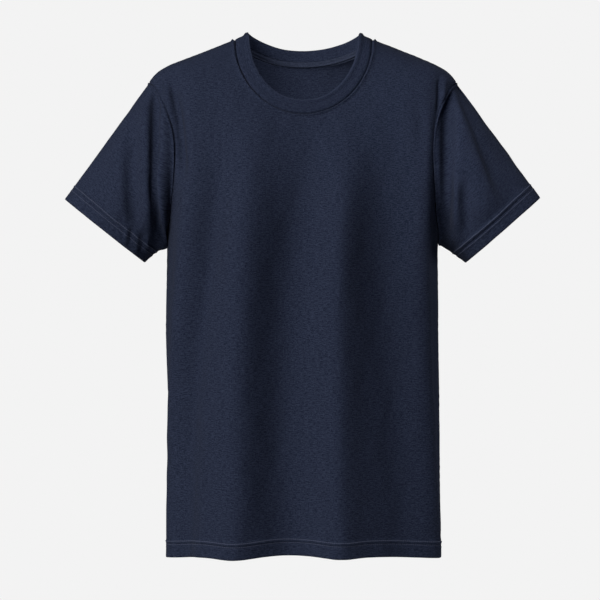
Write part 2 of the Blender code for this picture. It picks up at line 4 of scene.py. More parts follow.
import bpy
import numpy as np
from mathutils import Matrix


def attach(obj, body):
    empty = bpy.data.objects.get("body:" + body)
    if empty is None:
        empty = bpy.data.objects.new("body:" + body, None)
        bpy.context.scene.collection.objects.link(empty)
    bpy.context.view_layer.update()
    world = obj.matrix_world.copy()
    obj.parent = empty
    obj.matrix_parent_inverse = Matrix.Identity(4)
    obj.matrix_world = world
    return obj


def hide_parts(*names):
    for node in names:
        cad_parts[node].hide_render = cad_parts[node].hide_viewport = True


# Crew neck t-shirt, dressed.  Metres, +Z up, the front faces -Y, the wearer's left is +X.
# Every piece of cloth is a closed wall on the same form as its solid, with finer folds,
# rolled seams, turned-up hems, raised stitches and a knitted finish.
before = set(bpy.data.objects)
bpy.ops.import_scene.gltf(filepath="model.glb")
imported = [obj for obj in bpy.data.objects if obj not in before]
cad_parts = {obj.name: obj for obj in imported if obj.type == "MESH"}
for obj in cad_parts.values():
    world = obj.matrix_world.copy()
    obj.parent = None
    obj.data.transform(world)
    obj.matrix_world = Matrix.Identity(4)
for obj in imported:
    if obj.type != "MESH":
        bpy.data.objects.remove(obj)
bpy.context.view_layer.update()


def table(kind, *rows):
    """Rows of values under a named tuple's column names."""
    return [kind(*row) for row in rows]


# ---------------------------------------------------------------- sizes
WALL = 0.0016
HEM_EXTRA_WALL = 0.0010
RIB_WALL = 0.0026
SEAM_GAP = 0.0003
HALF_GAP = SEAM_GAP / 2

HEM_DEPTH = 0.023
CUFF_DEPTH = 0.024
HEM_STEP = 0.0012
HEM_HEIGHT_FRONT = -0.7165
HEM_HEIGHT_SIDE = -0.7220
HEM_HEIGHT_BACK = -0.7190
HEM_DROP_POWER = 4
FOLD_EDGE_RADIUS = 0.0030
THINNEST_EDGE = 0.0004

OVAL_SQUARENESS = 0.50
FOLDS_FULL_BELOW = -0.32
YOKE_FOLD_FADE = 0.045
ARMPIT_HEIGHT = -0.286
SHOULDER_TIP_HEIGHT = -0.059
NECK_HALF_WIDTH = 0.0955
NECK_DROP_FRONT = 0.107
NECK_DROP_BACK = 0.0325
NECK_CURVE_FRONT = 1.0
NECK_CURVE_BACK = 1.5

RIB_WIDTH = 0.0205
# Where the rib's fold lies up its UV map, and the painted highlight along it: how much paler its colour is
# made there and in how wide a band. It stands in for light caught on the rounded fold.
RIB_FOLD_AT = 0.0204
PAINTED_FOLD_HIGHLIGHT = 0.12
PAINTED_FOLD_HIGHLIGHT_WIDTH = 0.0022
RIB_LIFT_FRONT = math.radians(5)
RIB_LIFT_BACK = math.radians(38)
RIB_LIFT_FULL_AT = 0.60
RIB_LEAN_FULL_AT = 0.004
RIB_FOLD_POINTS = 9
RIB_INSIDE_POINTS = 7
TAPE_GAP = 0.0004
TAPE_ABOVE_SEAM = 0.0060
TAPE_BELOW_SEAM = 0.0058
TAPE_END_COLUMN = 3
TAPE_RIB_RING = -4
TAPE_PANEL_ROW = -8

CUFF_HALF_DEPTH = 0.048
CUFF_MIDDLE_Y = -0.012
SLEEVE_FULLNESS = 0.010
SLEEVE_SWELL_POWER = 0.8
SLEEVE_FOLD_FADE = 0.020
SLEEVE_FOLD_FACING = (0, 0.5)
SEAM_CALM = 0.007
FOLD_DEEPENING = 0.47
CUFF_CALM = (0.004, 0.050)
CUFF_FOLD_SHARE = 0.25

# Sewing
StitchRow = namedtuple("StitchRow", "height thread_radius")
STITCH_ROWS = table(StitchRow, (0.0150, 0.00048), (0.0220, 0.00076))
STITCH_PITCH = 0.0031
STITCH_LENGTH = 0.0026
StitchRing = namedtuple("StitchRing", "place radius")
STITCH_RINGS = table(StitchRing, (-1, 0.15), (-0.9, 0.7), (-0.45, 1), (0.45, 1), (0.9, 0.7), (1, 0.15))
STITCH_SIDES = 6
STITCH_END_COLUMNS = 4
SEAM_DIP = 0.0011
SEAM_DIP_WIDTH = 0.0012
SEAM_RIDGE = 0.0010
SEAM_RIDGE_AT = 0.0027
SEAM_RIDGE_WIDTH = 0.0015
SEAM_UNEVENNESS = 0.35
LEAST_MITRE = 0.5
BODY_RIDGE_SHARE = 0.6
SLEEVE_RIDGE_SHARE = 1.5
NECK_RIDGE_SHARE = 1.9
UNDERARM_SEAM_SHARE = 0.7
UNDERARM_CALM = 0.006
RELIEF_AT_EDGES = 0.2
RELIEF_FACING = (0.1, 0.5)
RELIEF_CUFF_FOLDS = (0.8, 1.0)
CUFF_FLARE = 0.0014
CUFF_FLARE_DEPTH = 0.017
EDGE_CALM = 0.004
PUCKER = 0.00035
PUCKER_PITCH = 0.0105
PUCKER_SPREAD = 0.012
PUCKER_DRIFT = (0.043, 0.027, 0.031)
PUCKER_WANDER = 2.2
PUCKER_LEAST = 0.6
PUCKER_PHASE = (2, 1)

# How finely the coarse grid of a panel is divided, as in the solids
FRONT_COLUMNS = 36
BACK_COLUMNS = 28
SIDE_ROWS = 11
ARMHOLE_ROWS = 14
SHOULDER_ROWS = 6
HEM_ROWS = 2
ARMPIT_ROW = HEM_ROWS + SIDE_ROWS - 1
TIP_ROW = ARMPIT_ROW + ARMHOLE_ROWS
TOP_ROW = TIP_ROW + SHOULDER_ROWS
RELAX_ROUNDS = 60
DENSE = 400

# How finely each coarse cell is divided again.  The cuts of the hem are distances from
# its edge, those beside a seam are shares of a cell or of the sleeve's length.
HEM_CUTS = (0, 0.0002, 0.0005, 0.0010, 0.0016, 0.0023, 0.0030, 0.007, 0.010, 0.0118, 0.0128, 0.0136,
            0.0143, 0.0150, 0.0158, 0.0166, 0.0174, 0.0182, 0.0190, 0.0197, 0.0204, 0.0211, 0.0218, 0.0225)
SIDE_CUTS = 7
ARMHOLE_CUTS = 7
SHOULDER_CUTS = 6
FRONT_CUTS = 5
BACK_CUTS = 5
SEAM_CUTS = (0.05, 0.11, 0.19, 0.29, 0.42, 0.60, 0.80)
SLEEVE_SEAM_SHARES = (0, 0.003, 0.0065, 0.011, 0.016, 0.022, 0.03, 0.04)
SLEEVE_EVEN_LINES = 54
SLEEVE_EVEN_FROM = 0.05
SLEEVE_NEAR_ROW = 4

# Rays that find the body's form
RAY_START_SHARE = 0.6
RAY_START_TOP = -0.14
RAY_REACH = (0.3, 2.5)
HALVINGS = 45

# Faces that meet at more than this keep a sharp edge between them
SHARP_ANGLE = math.radians(50)

# Small steps for slopes, and samples along a curve whose length is measured
FORM_STEP = 1e-4
TURN_STEP = 1e-3
HEIGHT_STEP = 2e-4
ARC_SAMPLES = 25
CLIMB_SAMPLES = 41

# ---------------------------------------------------------------- tables of the form
BodySection = namedtuple("BodySection", "height middle half_width front_depth back_depth")
BODY_SECTIONS = table(
    BodySection,
    (0, 0.0015, 0.096, 0.027, 0.029),
    (-0.009, 0.0022, 0.1195, 0.031, 0.034),
    (-0.015, 0.0022, 0.1345, 0.034, 0.038),
    (-0.02, 0.0022, 0.1475, 0.036, 0.042),
    (-0.026, 0.0016, 0.1625, 0.039, 0.047),
    (-0.032, 0.0006, 0.1775, 0.042, 0.053),
    (-0.037, 0.0002, 0.189, 0.045, 0.057),
    (-0.045, 0, 0.202, 0.05, 0.062),
    (-0.054, 0, 0.2105, 0.055, 0.067),
    (-0.059, 0, 0.2138, 0.058, 0.07),
    (-0.08, 0, 0.2138, 0.069, 0.08),
    (-0.107, 0, 0.2085, 0.082, 0.091),
    (-0.14, 0, 0.203, 0.095, 0.102),
    (-0.18, 0, 0.1985, 0.107, 0.11),
    (-0.22, 0, 0.195, 0.114, 0.111),
    (-0.26, 0, 0.191, 0.117, 0.108),
    (-0.3, -0.0004, 0.1889, 0.117, 0.104),
    (-0.4, -0.0008, 0.1902, 0.115, 0.099),
    (-0.5, 0.0014, 0.1892, 0.113, 0.098),
    (-0.6, 0.0032, 0.188, 0.112, 0.101),
    (-0.69, 0.0032, 0.1896, 0.112, 0.105),
    (-0.73, 0.0031, 0.189, 0.112, 0.106))

# The armhole seam as girth angles from the panel's centre line, in degrees, at turns
# round the armhole from the shoulder tip (0) to the armpit (180).
ArmholePoint = namedtuple("ArmholePoint", "turn front_angle back_angle")
ARMHOLE = table(
    ArmholePoint,
    (0, 90, 90),
    (30, 70.5, 73),
    (50, 63.8, 68.5),
    (75, 61.2, 67.5),
    (90, 62.2, 68.5),
    (110, 66.3, 71),
    (135, 75.2, 77.5),
    (155, 82.9, 83.5),
    (180, 90, 90))

# Hanging folds: where the line of each lies across the body at five heights, how far it
# stands out, how wide it spreads, the height where it has faded out above, and how far
# the hem hangs lower on it.
FOLD_HEIGHTS = (-0.18, -0.31, -0.43, -0.56, -0.72)
BodyFold = namedtuple("BodyFold", "face yoke chest waist hip hem rise spread fades_at dip")
BODY_FOLDS = table(
    BodyFold,
    ("front", -0.153, -0.164, -0.173, -0.179, -0.182, 0.0085, 0.022, -0.03, 0.0013),
    ("front", -0.114, -0.131, -0.148, -0.16, -0.166, -0.0115, 0.026, -0.06, -0.0013),
    ("front", -0.075, -0.082, -0.086, -0.089, -0.094, 0.0115, 0.028, 0, 0.004),
    ("front", 0.003, -0.014, -0.024, -0.026, -0.018, -0.0115, 0.03, -0.08, -0.0016),
    ("front", 0.058, 0.052, 0.05, 0.051, 0.052, 0.013, 0.023, -0.07, 0.0026),
    ("front", 0.121, 0.117, 0.123, 0.133, 0.14, -0.013, 0.04, 0, 0.0002),
    ("front", 0.17, 0.163, 0.165, 0.172, 0.18, 0.0105, 0.021, -0.02, 0.0012),
    ("back", -0.14, -0.15, -0.158, -0.16, -0.163, 0.0085, 0.028, -0.06, 0.0012),
    ("back", -0.088, -0.095, -0.105, -0.108, -0.112, -0.0095, 0.03, -0.08, -0.0014),
    ("back", -0.04, -0.044, -0.052, -0.055, -0.06, 0.0105, 0.029, -0.05, 0.0015),
    ("back", 0.012, 0.008, 0.004, 0.002, 0.004, -0.0085, 0.032, -0.1, -0.0012),
    ("back", 0.07, 0.062, 0.066, 0.064, 0.06, 0.011, 0.031, -0.06, 0.0016),
    ("back", 0.116, 0.114, 0.12, 0.118, 0.11, -0.0095, 0.027, -0.07, -0.0013),
    ("back", 0.16, 0.158, 0.16, 0.163, 0.16, 0.0085, 0.026, -0.08, 0.0012))

# Short folds beside the armholes: the two ends of each line, how far it stands out and
# how wide it spreads.
ShortFold = namedtuple("ShortFold", "face top top_x low low_x rise spread")
YOKE_FOLDS = table(
    ShortFold,
    ("front", -0.045, -0.181, -0.215, -0.16, -0.0055, 0.01),
    ("front", -0.06, 0.16, -0.16, 0.166, -0.0028, 0.011),
    ("back", -0.07, -0.158, -0.22, -0.166, -0.0034, 0.014),
    ("back", -0.08, 0.162, -0.2, 0.168, -0.003, 0.013))

# Sleeves: the cuff's outer and inner corners as seen from the front.
Sleeve = namedtuple("Sleeve", "name side tip_x tip_z under_x under_z")
SLEEVES = table(
    Sleeve,
    ("sleeve_right", -1, 0.332, -0.2235, 0.222, -0.3108),
    ("sleeve_left", 1, 0.3315, -0.2215, 0.2285, -0.3113))

# Folds of the sleeves: three places on the line of each, as height and distance out from
# the middle of the body, how far it stands out and how wide it spreads.
SleeveFold = namedtuple("SleeveFold", "face top_z top_x mid_z mid_x low_z low_x rise spread")
SLEEVE_FOLDS = {
    "sleeve_right": table(
        SleeveFold,
        ("front", -0.075, 0.202, -0.18, 0.2, -0.275, 0.196, -0.009, 0.009),
        ("front", -0.085, 0.217, -0.18, 0.217, -0.262, 0.214, 0.0055, 0.011),
        ("front", -0.14, 0.236, -0.19, 0.234, -0.262, 0.23, -0.006, 0.011),
        ("front", -0.13, 0.252, -0.185, 0.254, -0.255, 0.253, 0.006, 0.018),
        ("back", -0.085, 0.206, -0.19, 0.204, -0.27, 0.196, -0.007, 0.012),
        ("back", -0.11, 0.226, -0.19, 0.232, -0.27, 0.24, 0.0055, 0.017),
        ("back", -0.15, 0.256, -0.21, 0.268, -0.27, 0.276, -0.0036, 0.017)),
    "sleeve_left": table(
        SleeveFold,
        ("front", -0.065, 0.202, -0.16, 0.199, -0.27, 0.195, -0.0095, 0.0095),
        ("front", -0.085, 0.214, -0.16, 0.238, -0.25, 0.262, 0.0065, 0.019),
        ("front", -0.205, 0.211, -0.236, 0.211, -0.275, 0.214, 0.003, 0.008),
        ("front", -0.205, 0.223, -0.236, 0.225, -0.275, 0.229, -0.0034, 0.009),
        ("front", -0.15, 0.262, -0.2, 0.284, -0.255, 0.302, -0.0036, 0.017),
        ("back", -0.08, 0.205, -0.18, 0.203, -0.265, 0.196, -0.0075, 0.012),
        ("back", -0.1, 0.222, -0.19, 0.236, -0.27, 0.246, 0.0055, 0.019),
        ("back", -0.17, 0.262, -0.22, 0.276, -0.265, 0.288, -0.0034, 0.016)),
}

# Soft unevenness of hanging cloth: waves across and up the cloth, in metres.
Wave = namedtuple("Wave", "across up phase rise")
RUMPLE = table(
    Wave,
    (0.071, 0.16, 0.4, 0.00012),
    (-0.053, 0.21, 1.9, 0.00019),
    (0.038, 0.115, 3.1, 0.00015),
    (-0.029, 0.088, 5.2, 0.00012),
    (0.12, 0.061, 2.6, 0.00015),
    (-0.09, 0.043, 0.9, 0.00012))

# Creases: a line from one end to the other in the face's own width and height, how far it
# bows sideways, how far it stands out (in, below zero) and how wide it spreads.  It rises
# and fades at shares of its length.
CREASE_START = (-0.10, 0.25)
CREASE_END = (0.75, 1.10)
Crease = namedtuple("Crease", "x z to_x to_z bow rise spread")
CREASES = {
    "front": table(
        Crease,
        (0.1905, -0.052, 0.188, -0.106, 0.0006, -0.0044, 0.0034),
        (0.1985, -0.052, 0.1945, -0.094, 0, 0.0024, 0.0036),
        (-0.199, -0.05, -0.196, -0.082, 0, -0.0026, 0.0045),
        (-0.192, -0.05, -0.186, -0.13, 0.002, 0.0018, 0.004),
        (-0.185, -0.056, -0.1655, -0.19, 0.005, -0.0044, 0.005),
        (0.173, -0.095, 0.17, -0.215, 0.002, 0.002, 0.0075)),
    "sleeve_right": table(
        Crease,
        (0.2065, -0.056, 0.2055, -0.235, 0, -0.0044, 0.0042),
        (0.1915, -0.08, 0.1925, -0.285, 0, 0.0072, 0.0055),
        (0.1985, -0.17, 0.1955, -0.31, 0, 0.0074, 0.0075),
        (0.206, -0.19, 0.2045, -0.29, 0, -0.003, 0.0045),
        (0.241, -0.165, 0.234, -0.262, 0.001, -0.0028, 0.008),
        (0.2425, -0.262, 0.2465, -0.29, 0, 0.0017, 0.0026),
        (0.236, -0.262, 0.2405, -0.292, 0, -0.0018, 0.0028),
        (0.2285, -0.272, 0.233, -0.3, 0, 0.0016, 0.0026),
        (0.2225, -0.272, 0.226, -0.304, 0, -0.0018, 0.0028),
        (0.213, -0.27, 0.2185, -0.3, 0, 0.0016, 0.0028),
        (0.253, -0.243, 0.25, -0.262, 0, -0.0012, 0.0028)),
    "sleeve_left": table(
        Crease,
        (0.2065, -0.066, 0.1955, -0.272, 0, -0.005, 0.0085),
        (0.215, -0.062, 0.274, -0.222, 0.0015, -0.0058, 0.0074),
        (0.2235, -0.2, 0.2265, -0.275, 0, -0.0022, 0.0075),
        (0.256, -0.215, 0.264, -0.262, 0.002, -0.001, 0.005)),
    "back": table(
        Crease,
        (0.188, -0.052, 0.185, -0.112, 0.001, -0.003, 0.004),
        (-0.191, -0.05, -0.186, -0.104, 0.001, -0.003, 0.004),
        (0.15, -0.18, 0.138, -0.262, 0.004, -0.0018, 0.006),
        (-0.156, -0.17, -0.14, -0.25, 0.004, -0.0018, 0.006)),
}

# Profile of a turned-up edge: how far it stands out at distances from the fold.
HemPoint = namedtuple("HemPoint", "rise out")
HEM_PROFILE = table(
    HemPoint,
    (0, 0.001),
    (0.008, 0.0011),
    (0.0118, 0.001),
    (0.0148, 0.0016),
    (0.0182, 0.0006),
    (0.0212, 0.0022),
    (0.026, 0))

# Section of the rib's outside, from its seam up to the fold, and of the tape from its
# edge on the panel (-1) over the seam (0) to its edge on the rib (1).
RibPoint = namedtuple("RibPoint", "rise out")
RIB_OUTSIDE = table(
    RibPoint,
    (0, -0.001), (0.0006, -0.0005), (0.0014, 0.0001), (0.0026, 0.0005),
    (0.0045, 0.0006), (0.0075, 0.0005), (0.00945, 0.0003), (0.0114, 0.0001),
    (0.01335, 0.0001), (0.0153, 0.0006), (0.01725, 0.0012))
TapePoint = namedtuple("TapePoint", "place proud")
TAPE_PROFILE = table(
    TapePoint,
    (-1, 0.0002), (-0.93, 0.0014), (-0.8, 0.0022), (-0.64, 0.0018),
    (-0.5, 0.0002), (-0.36, 0.0002), (-0.2, 0.0013), (0, 0.0016),
    (0.3, 0.001), (0.42, 0.0006), (0.54, 0.001), (0.8, 0.001),
    (0.95, 0.0008), (1, 0.0002))

# Colours: the dark and the light tone of each cloth.  Flecks of its yarn: their length,
# thickness and shares in the colour and in the relief.  Loops: their width and height.
# Surfaces: roughness and sheen.
JERSEY_TONES = ((0.0080, 0.0112, 0.0240), (0.0228, 0.0296, 0.0545))
RIB_TONES = ((0.0085, 0.0118, 0.0250), (0.0212, 0.0276, 0.0512))
TAPE_TONES = ((0.0160, 0.0205, 0.0375), (0.0300, 0.0375, 0.0640))
THREAD_TONES = ((0.030, 0.036, 0.062), (0.060, 0.071, 0.110))
FLOOR_TONES = ((0.84, 0.84, 0.84), (0.90, 0.90, 0.90))
Fleck = namedtuple("Fleck", "length thickness detail tone relief")
FLECKS = table(
    Fleck,
    (0.0018, 0.0011, 2, 0.5, 0.7),
    (0.0056, 0.001, 1, 0.39, 1.2),
    (0.019, 0.0018, 1, 0.11, 0.9))
TONE_SPAN = (0.425, 0.575)
JERSEY_LOOP = (0.0011, 0.0008)
RIB_LOOP = (0.0016, 0.0009)
TAPE_LOOP = (0.0009, 0.0009)
LOOP_SLANT = 1.6
LOOP_RELIEF = 0.16
WALE_RELIEF = 0.20
KNIT_BUMP = 0.00022
TWIST = (0.0009, 0.0004)
TWIST_BUMP = 0.0001
SPECULAR = 0.04
SHEEN_ROUGHNESS = 0.5
KNIT_SURFACE = (0.95, 0.01)
THREAD_SURFACE = (0.85, 0.03)
FLOOR_SURFACE = (0.8, 0)
FLOOR_GRAIN = 6
NOISE_ROUGHNESS = 0.55

# Studio lights: compass turn from straight ahead (right is above zero) and height, degrees.
LIGHT_DISTANCE = 4.0
Light = namedtuple("Light", "name turn lift size power")
LIGHTS = table(
    Light,
    ("key", -31, 27, 1.6, 170),
    ("left", -65, 25, 1.6, 45),
    ("right", 106, 3, 1.6, 54),
    ("behind", 180, 0, 1.6, 60))
STUDIO_TINT = (1.0, 0.985, 0.95)
AMBIENT_TINT = (0.46, 0.60, 1.0)
AMBIENT_STRENGTH = 0.07

# Narrow soft spot from the same compass, with the place it is aimed at and its full angle.
Spot = namedtuple("Spot", "name turn lift x y z spread power")
SLEEVE_SPOT = Spot("left sleeve", -15, 38, 0.232, -0.030, -0.186, 3.3, 720)

# Small lamp inside the shirt, below the neck, for the inside of the back
INSIDE_LAMP_AT = (-0.022, -0.040, -0.165)
INSIDE_LAMP_AIM = (-0.030, 0.075, -0.065)
INSIDE_LAMP_SIZE = 0.06
INSIDE_LAMP_POWER = 0.150

# Camera, backdrop and floor, and where the large lights are aimed
CAMERA_DISTANCE = 5.0
CAMERA_X = -0.0038
CAMERA_Z = -0.364
CAMERA_FAR = 100
SENSOR_WIDTH = 36
VIEW_WIDTH = 0.84
LIGHTS_AIM = (0, 0, -0.36)
SPOT_SOFTNESS = 0.15
BACKGROUND = 0.896
FLOOR_HALF_WIDTH = 1.5
FLOOR_DEPTH = 1.5


# ---------------------------------------------------------------- curves and vectors
def values(rows, name):
    """One named column of a table."""
    return np.array([getattr(row, name) for row in rows], float)


def smooth(knots, heights, at):
    """Monotone cubic curve through a table's points, level past its ends.  Further axes
    of the table are carried along."""
    order = np.argsort(knots)
    x, y = np.asarray(knots, float)[order], np.asarray(heights, float)[order]
    tail = (1,) * (y.ndim - 1)
    step = np.diff(x).reshape(-1, *tail)
    secant = np.diff(y, axis=0) / step
    before, after = secant[:-1], secant[1:]
    turning = before * after <= 0
    weight_before = step[:-1] + 2 * step[1:]
    weight_after = 2 * step[:-1] + step[1:]
    safe_before = np.where(turning, 1.0, before)
    safe_after = np.where(turning, 1.0, after)
    mean = (weight_before + weight_after) / (weight_before / safe_before + weight_after / safe_after)
    slope = np.concatenate([secant[:1], np.where(turning, 0.0, mean), secant[-1:]])
    at = np.clip(at, x[0], x[-1])
    cell = np.clip(np.searchsorted(x, at) - 1, 0, len(x) - 2)
    wide = step[cell] if y.ndim > 1 else step.reshape(-1)[cell]
    t = (at - x[cell]).reshape(at.shape + tail) / wide
    start = (1 + 2 * t) * (1 - t) ** 2 * y[cell] + t * (1 - t) ** 2 * wide * slope[cell]
    end = t * t * (3 - 2 * t) * y[cell + 1] + t * t * (t - 1) * wide * slope[cell + 1]
    return start + end


def ramp(low, high, at):
    """0 below low, 1 above high, and between them t squared times 3 - 2t."""
    t = np.clip((at - low) / (high - low), 0, 1)
    return t * t * (3 - 2 * t)


def bell(at, centre, width):
    """Soft ridge of height 1: e to the power of minus the squared distance over the width."""
    return np.exp(-((at - centre) / width) ** 2)


def unit(vectors):
    """Vectors over their own length."""
    return vectors / np.maximum(np.linalg.norm(vectors, axis=-1, keepdims=True), 1e-12)


def lengths(points, axis):
    """Distance walked along one axis of a grid of points, from its first row or column."""
    step = np.linalg.norm(np.diff(points, axis=axis), axis=-1)
    start = np.zeros_like(np.take(step, [0], axis=axis))
    return np.concatenate([start, np.cumsum(step, axis=axis)], axis=axis)


def refine(grid, rows, columns):
    """Read a coarse grid at fractional rows and columns, along smooth curves both ways."""
    grid = smooth(np.arange(len(grid)), grid, rows).T
    return smooth(np.arange(len(grid)), grid, columns).T


# ---------------------------------------------------------------- the body's form
def section(height):
    """Middle, half width, front depth and back depth of the level oval at a height."""
    knots = values(BODY_SECTIONS, "height")
    return [smooth(knots, values(BODY_SECTIONS, name), height) for name in BodySection._fields[1:]]


def body_form(angle, height):
    """Level oval: across = half width x sine, depth = -depth x cosine, a little squared
    by 1 + OVAL_SQUARENESS x sine squared.  Angle 0 is the front centre."""
    middle, half_width, front, back = section(height)
    sine, cosine = np.sin(angle), np.cos(angle)
    depth = np.where(cosine > 0, front, back)
    y = -depth * cosine * (1 + OVAL_SQUARENESS * sine ** 2)
    return np.stack([middle + half_width * sine, y, height + 0 * sine], axis=-1)


def girth_angle(face, across, half_width):
    """Angle round the body of a place across its front or back."""
    turned = np.arcsin(np.clip(across / half_width, -1, 1))
    return turned if face == "front" else math.pi - turned


def bump(angle, centre, arm, spread):
    """Soft ridge of height 1 along a line at the given girth angle, with the distance taken
    round the body at its arm."""
    apart = (angle - centre + math.pi) % (2 * math.pi) - math.pi
    return bell(apart * arm, 0, spread)


def body_folds(angle, height):
    """How far the cloth stands out from the smooth form, and how far the hem hangs low."""
    middle, half_width, front, back = section(height)
    arm = (half_width + np.where(np.cos(angle) > 0, front, back)) / 2
    rise = 0 * angle * height
    dip = 0 * rise
    for fold in BODY_FOLDS:
        across = smooth(FOLD_HEIGHTS, fold[1:6], height)
        strength = 1 - ramp(FOLDS_FULL_BELOW, fold.fades_at, height)
        centre = girth_angle(fold.face, across - middle, half_width)
        ridge = strength * bump(angle, centre, arm, fold.spread)
        rise, dip = rise + fold.rise * ridge, dip + fold.dip * ridge
    for fold in YOKE_FOLDS:
        across = np.interp(height, [fold.low, fold.top], [fold.low_x, fold.top_x])
        strength = ramp(fold.low, fold.low + YOKE_FOLD_FADE, height)
        strength = strength * (1 - ramp(fold.top - YOKE_FOLD_FADE, fold.top, height))
        centre = girth_angle(fold.face, across - middle, half_width)
        rise = rise + fold.rise * strength * bump(angle, centre, arm, fold.spread)
    return rise, dip


def body_surface(angle, height):
    """Outer surface with its folds, which push straight out of the level oval."""
    here = body_form(angle, height)
    along = body_form(angle + FORM_STEP, height) - here
    outward = unit(np.stack([along[..., 1], -along[..., 0], 0 * along[..., 2]], axis=-1))
    deeper = 1 + FOLD_DEEPENING * np.cos(angle) ** 2
    return here + (deeper * body_folds(angle, height)[0])[..., None] * outward


def body_normal(angle, height):
    """Cross product of the folded surface's slopes round the body and upward."""
    here = body_surface(angle, height)
    around = body_surface(angle + TURN_STEP, height) - body_surface(angle - TURN_STEP, height)
    upward = here - body_surface(angle, height - HEIGHT_STEP)
    return unit(np.cross(around, upward))


def body_place(points):
    """Sine of the girth angle at each point, and the depth of the form over its cosine."""
    middle, half_width, front, back = section(points[..., 2])
    sine = np.clip((points[..., 0] - middle) / half_width, -1, 1)
    return sine, np.where(points[..., 1] < 0, front, back) * (1 + OVAL_SQUARENESS * sine ** 2)


def body_holds(points):
    """Which points lie inside the smooth form."""
    sine, depth = body_place(points)
    within = np.abs(points[..., 1]) < depth * np.sqrt(1 - sine ** 2)
    return (np.abs(sine) < 1) & within & (points[..., 2] < 0)


def onto_body(points, face):
    """Slide points along rays from the middle of the body until they meet its form."""
    start_x = RAY_START_SHARE * points[..., 0]
    start = np.stack([start_x, 0 * start_x, np.minimum(points[..., 2], RAY_START_TOP)], axis=-1)
    ray = points - start
    low, high = (np.full(points.shape[:-1], reach) for reach in RAY_REACH)
    for _ in range(HALVINGS):
        trial = (low + high) / 2
        inside = body_holds(start + trial[..., None] * ray)
        low, high = np.where(inside, trial, low), np.where(inside, high, trial)
    place = start + low[..., None] * ray
    sine, depth = body_place(place)
    angle = np.arctan2(sine, -place[..., 1] / depth)
    return (angle if face == "front" else angle % (2 * math.pi)), place[..., 2]


# ---------------------------------------------------------------- seam lines
def evenly(angle, height, count):
    """Girth angles and heights that part a line on the form into equal lengths."""
    walked = lengths(body_form(angle, height), 0)
    stops = np.linspace(0, walked[-1], count + 1)
    return np.interp(stops, walked, angle), np.interp(stops, walked, height)


def hem_line(face, count):
    """Girth angles and heights along a panel's hem, from one side seam to the other.  It
    goes from the middle's height to the sides' with a power of the sine, and dips at folds."""
    middle = 0.0 if face == "front" else math.pi
    level = HEM_HEIGHT_FRONT if face == "front" else HEM_HEIGHT_BACK
    angle = middle + np.linspace(-math.pi / 2, math.pi / 2, DENSE)
    angle = evenly(angle, np.full(DENSE, level), count)[0]
    side_share = np.sin(angle) ** HEM_DROP_POWER
    height = level + (HEM_HEIGHT_SIDE - level) * side_share
    height = height - body_folds(angle, height)[1] * (1 - side_share)
    return angle, height


def side_line(face):
    """Turn from the panel's centre line and height, from the hem up the side seam, the
    armhole and the shoulder seam."""
    hem_rows = np.array([0, HEM_DEPTH, HEM_DEPTH + HEM_STEP])
    side_rows = np.linspace(HEM_HEIGHT_SIDE + hem_rows[-1], ARMPIT_HEIGHT, SIDE_ROWS)
    side_height = np.concatenate([HEM_HEIGHT_SIDE + hem_rows[:-1], side_rows])
    side_angle = np.full(len(side_height), math.pi / 2)

    turn = np.linspace(math.pi, 0, DENSE)
    middle, reach = (SHOULDER_TIP_HEIGHT + ARMPIT_HEIGHT) / 2, (SHOULDER_TIP_HEIGHT - ARMPIT_HEIGHT) / 2
    arm_height = middle + reach * np.cos(turn)
    seam_angle = values(ARMHOLE, "front_angle" if face == "front" else "back_angle")
    arm_angle = np.radians(smooth(values(ARMHOLE, "turn"), seam_angle, np.degrees(turn)))
    facing = arm_angle if face == "front" else math.pi - arm_angle
    facing, arm_height = evenly(facing, arm_height, ARMHOLE_ROWS)
    arm_angle = facing if face == "front" else math.pi - facing

    top_height = np.linspace(SHOULDER_TIP_HEIGHT, 0, DENSE)
    top_angle, top_height = evenly(np.full(DENSE, math.pi / 2), top_height, SHOULDER_ROWS)
    return (np.concatenate([side_angle, arm_angle[1:], top_angle[1:]]),
            np.concatenate([side_height, arm_height[1:], top_height[1:]]))


def neck_line(face, count):
    """Girth angles and heights along a panel's neckline, from one shoulder seam to the
    other: an oval as seen from the front, rounder or flatter by the power of its fall."""
    drop, curve = NECK_DROP_FRONT, NECK_CURVE_FRONT
    if face == "back":
        drop, curve = NECK_DROP_BACK, NECK_CURVE_BACK
    across = np.linspace(-1, 1, 2 * DENSE + 1)
    fall = np.sin(math.pi / 2 * (1 - np.abs(across))) ** 2
    x = np.sign(across) * NECK_HALF_WIDTH * np.sqrt(1 - fall ** 2)
    height = -drop * fall ** curve
    middle, half_width = section(height)[:2]
    neck_middle = section(0.0)[0]
    angle = np.arcsin(np.clip((neck_middle + x - middle) / half_width, -1, 1))
    if face == "back":
        angle = math.pi + angle
    return evenly(angle, height, count)


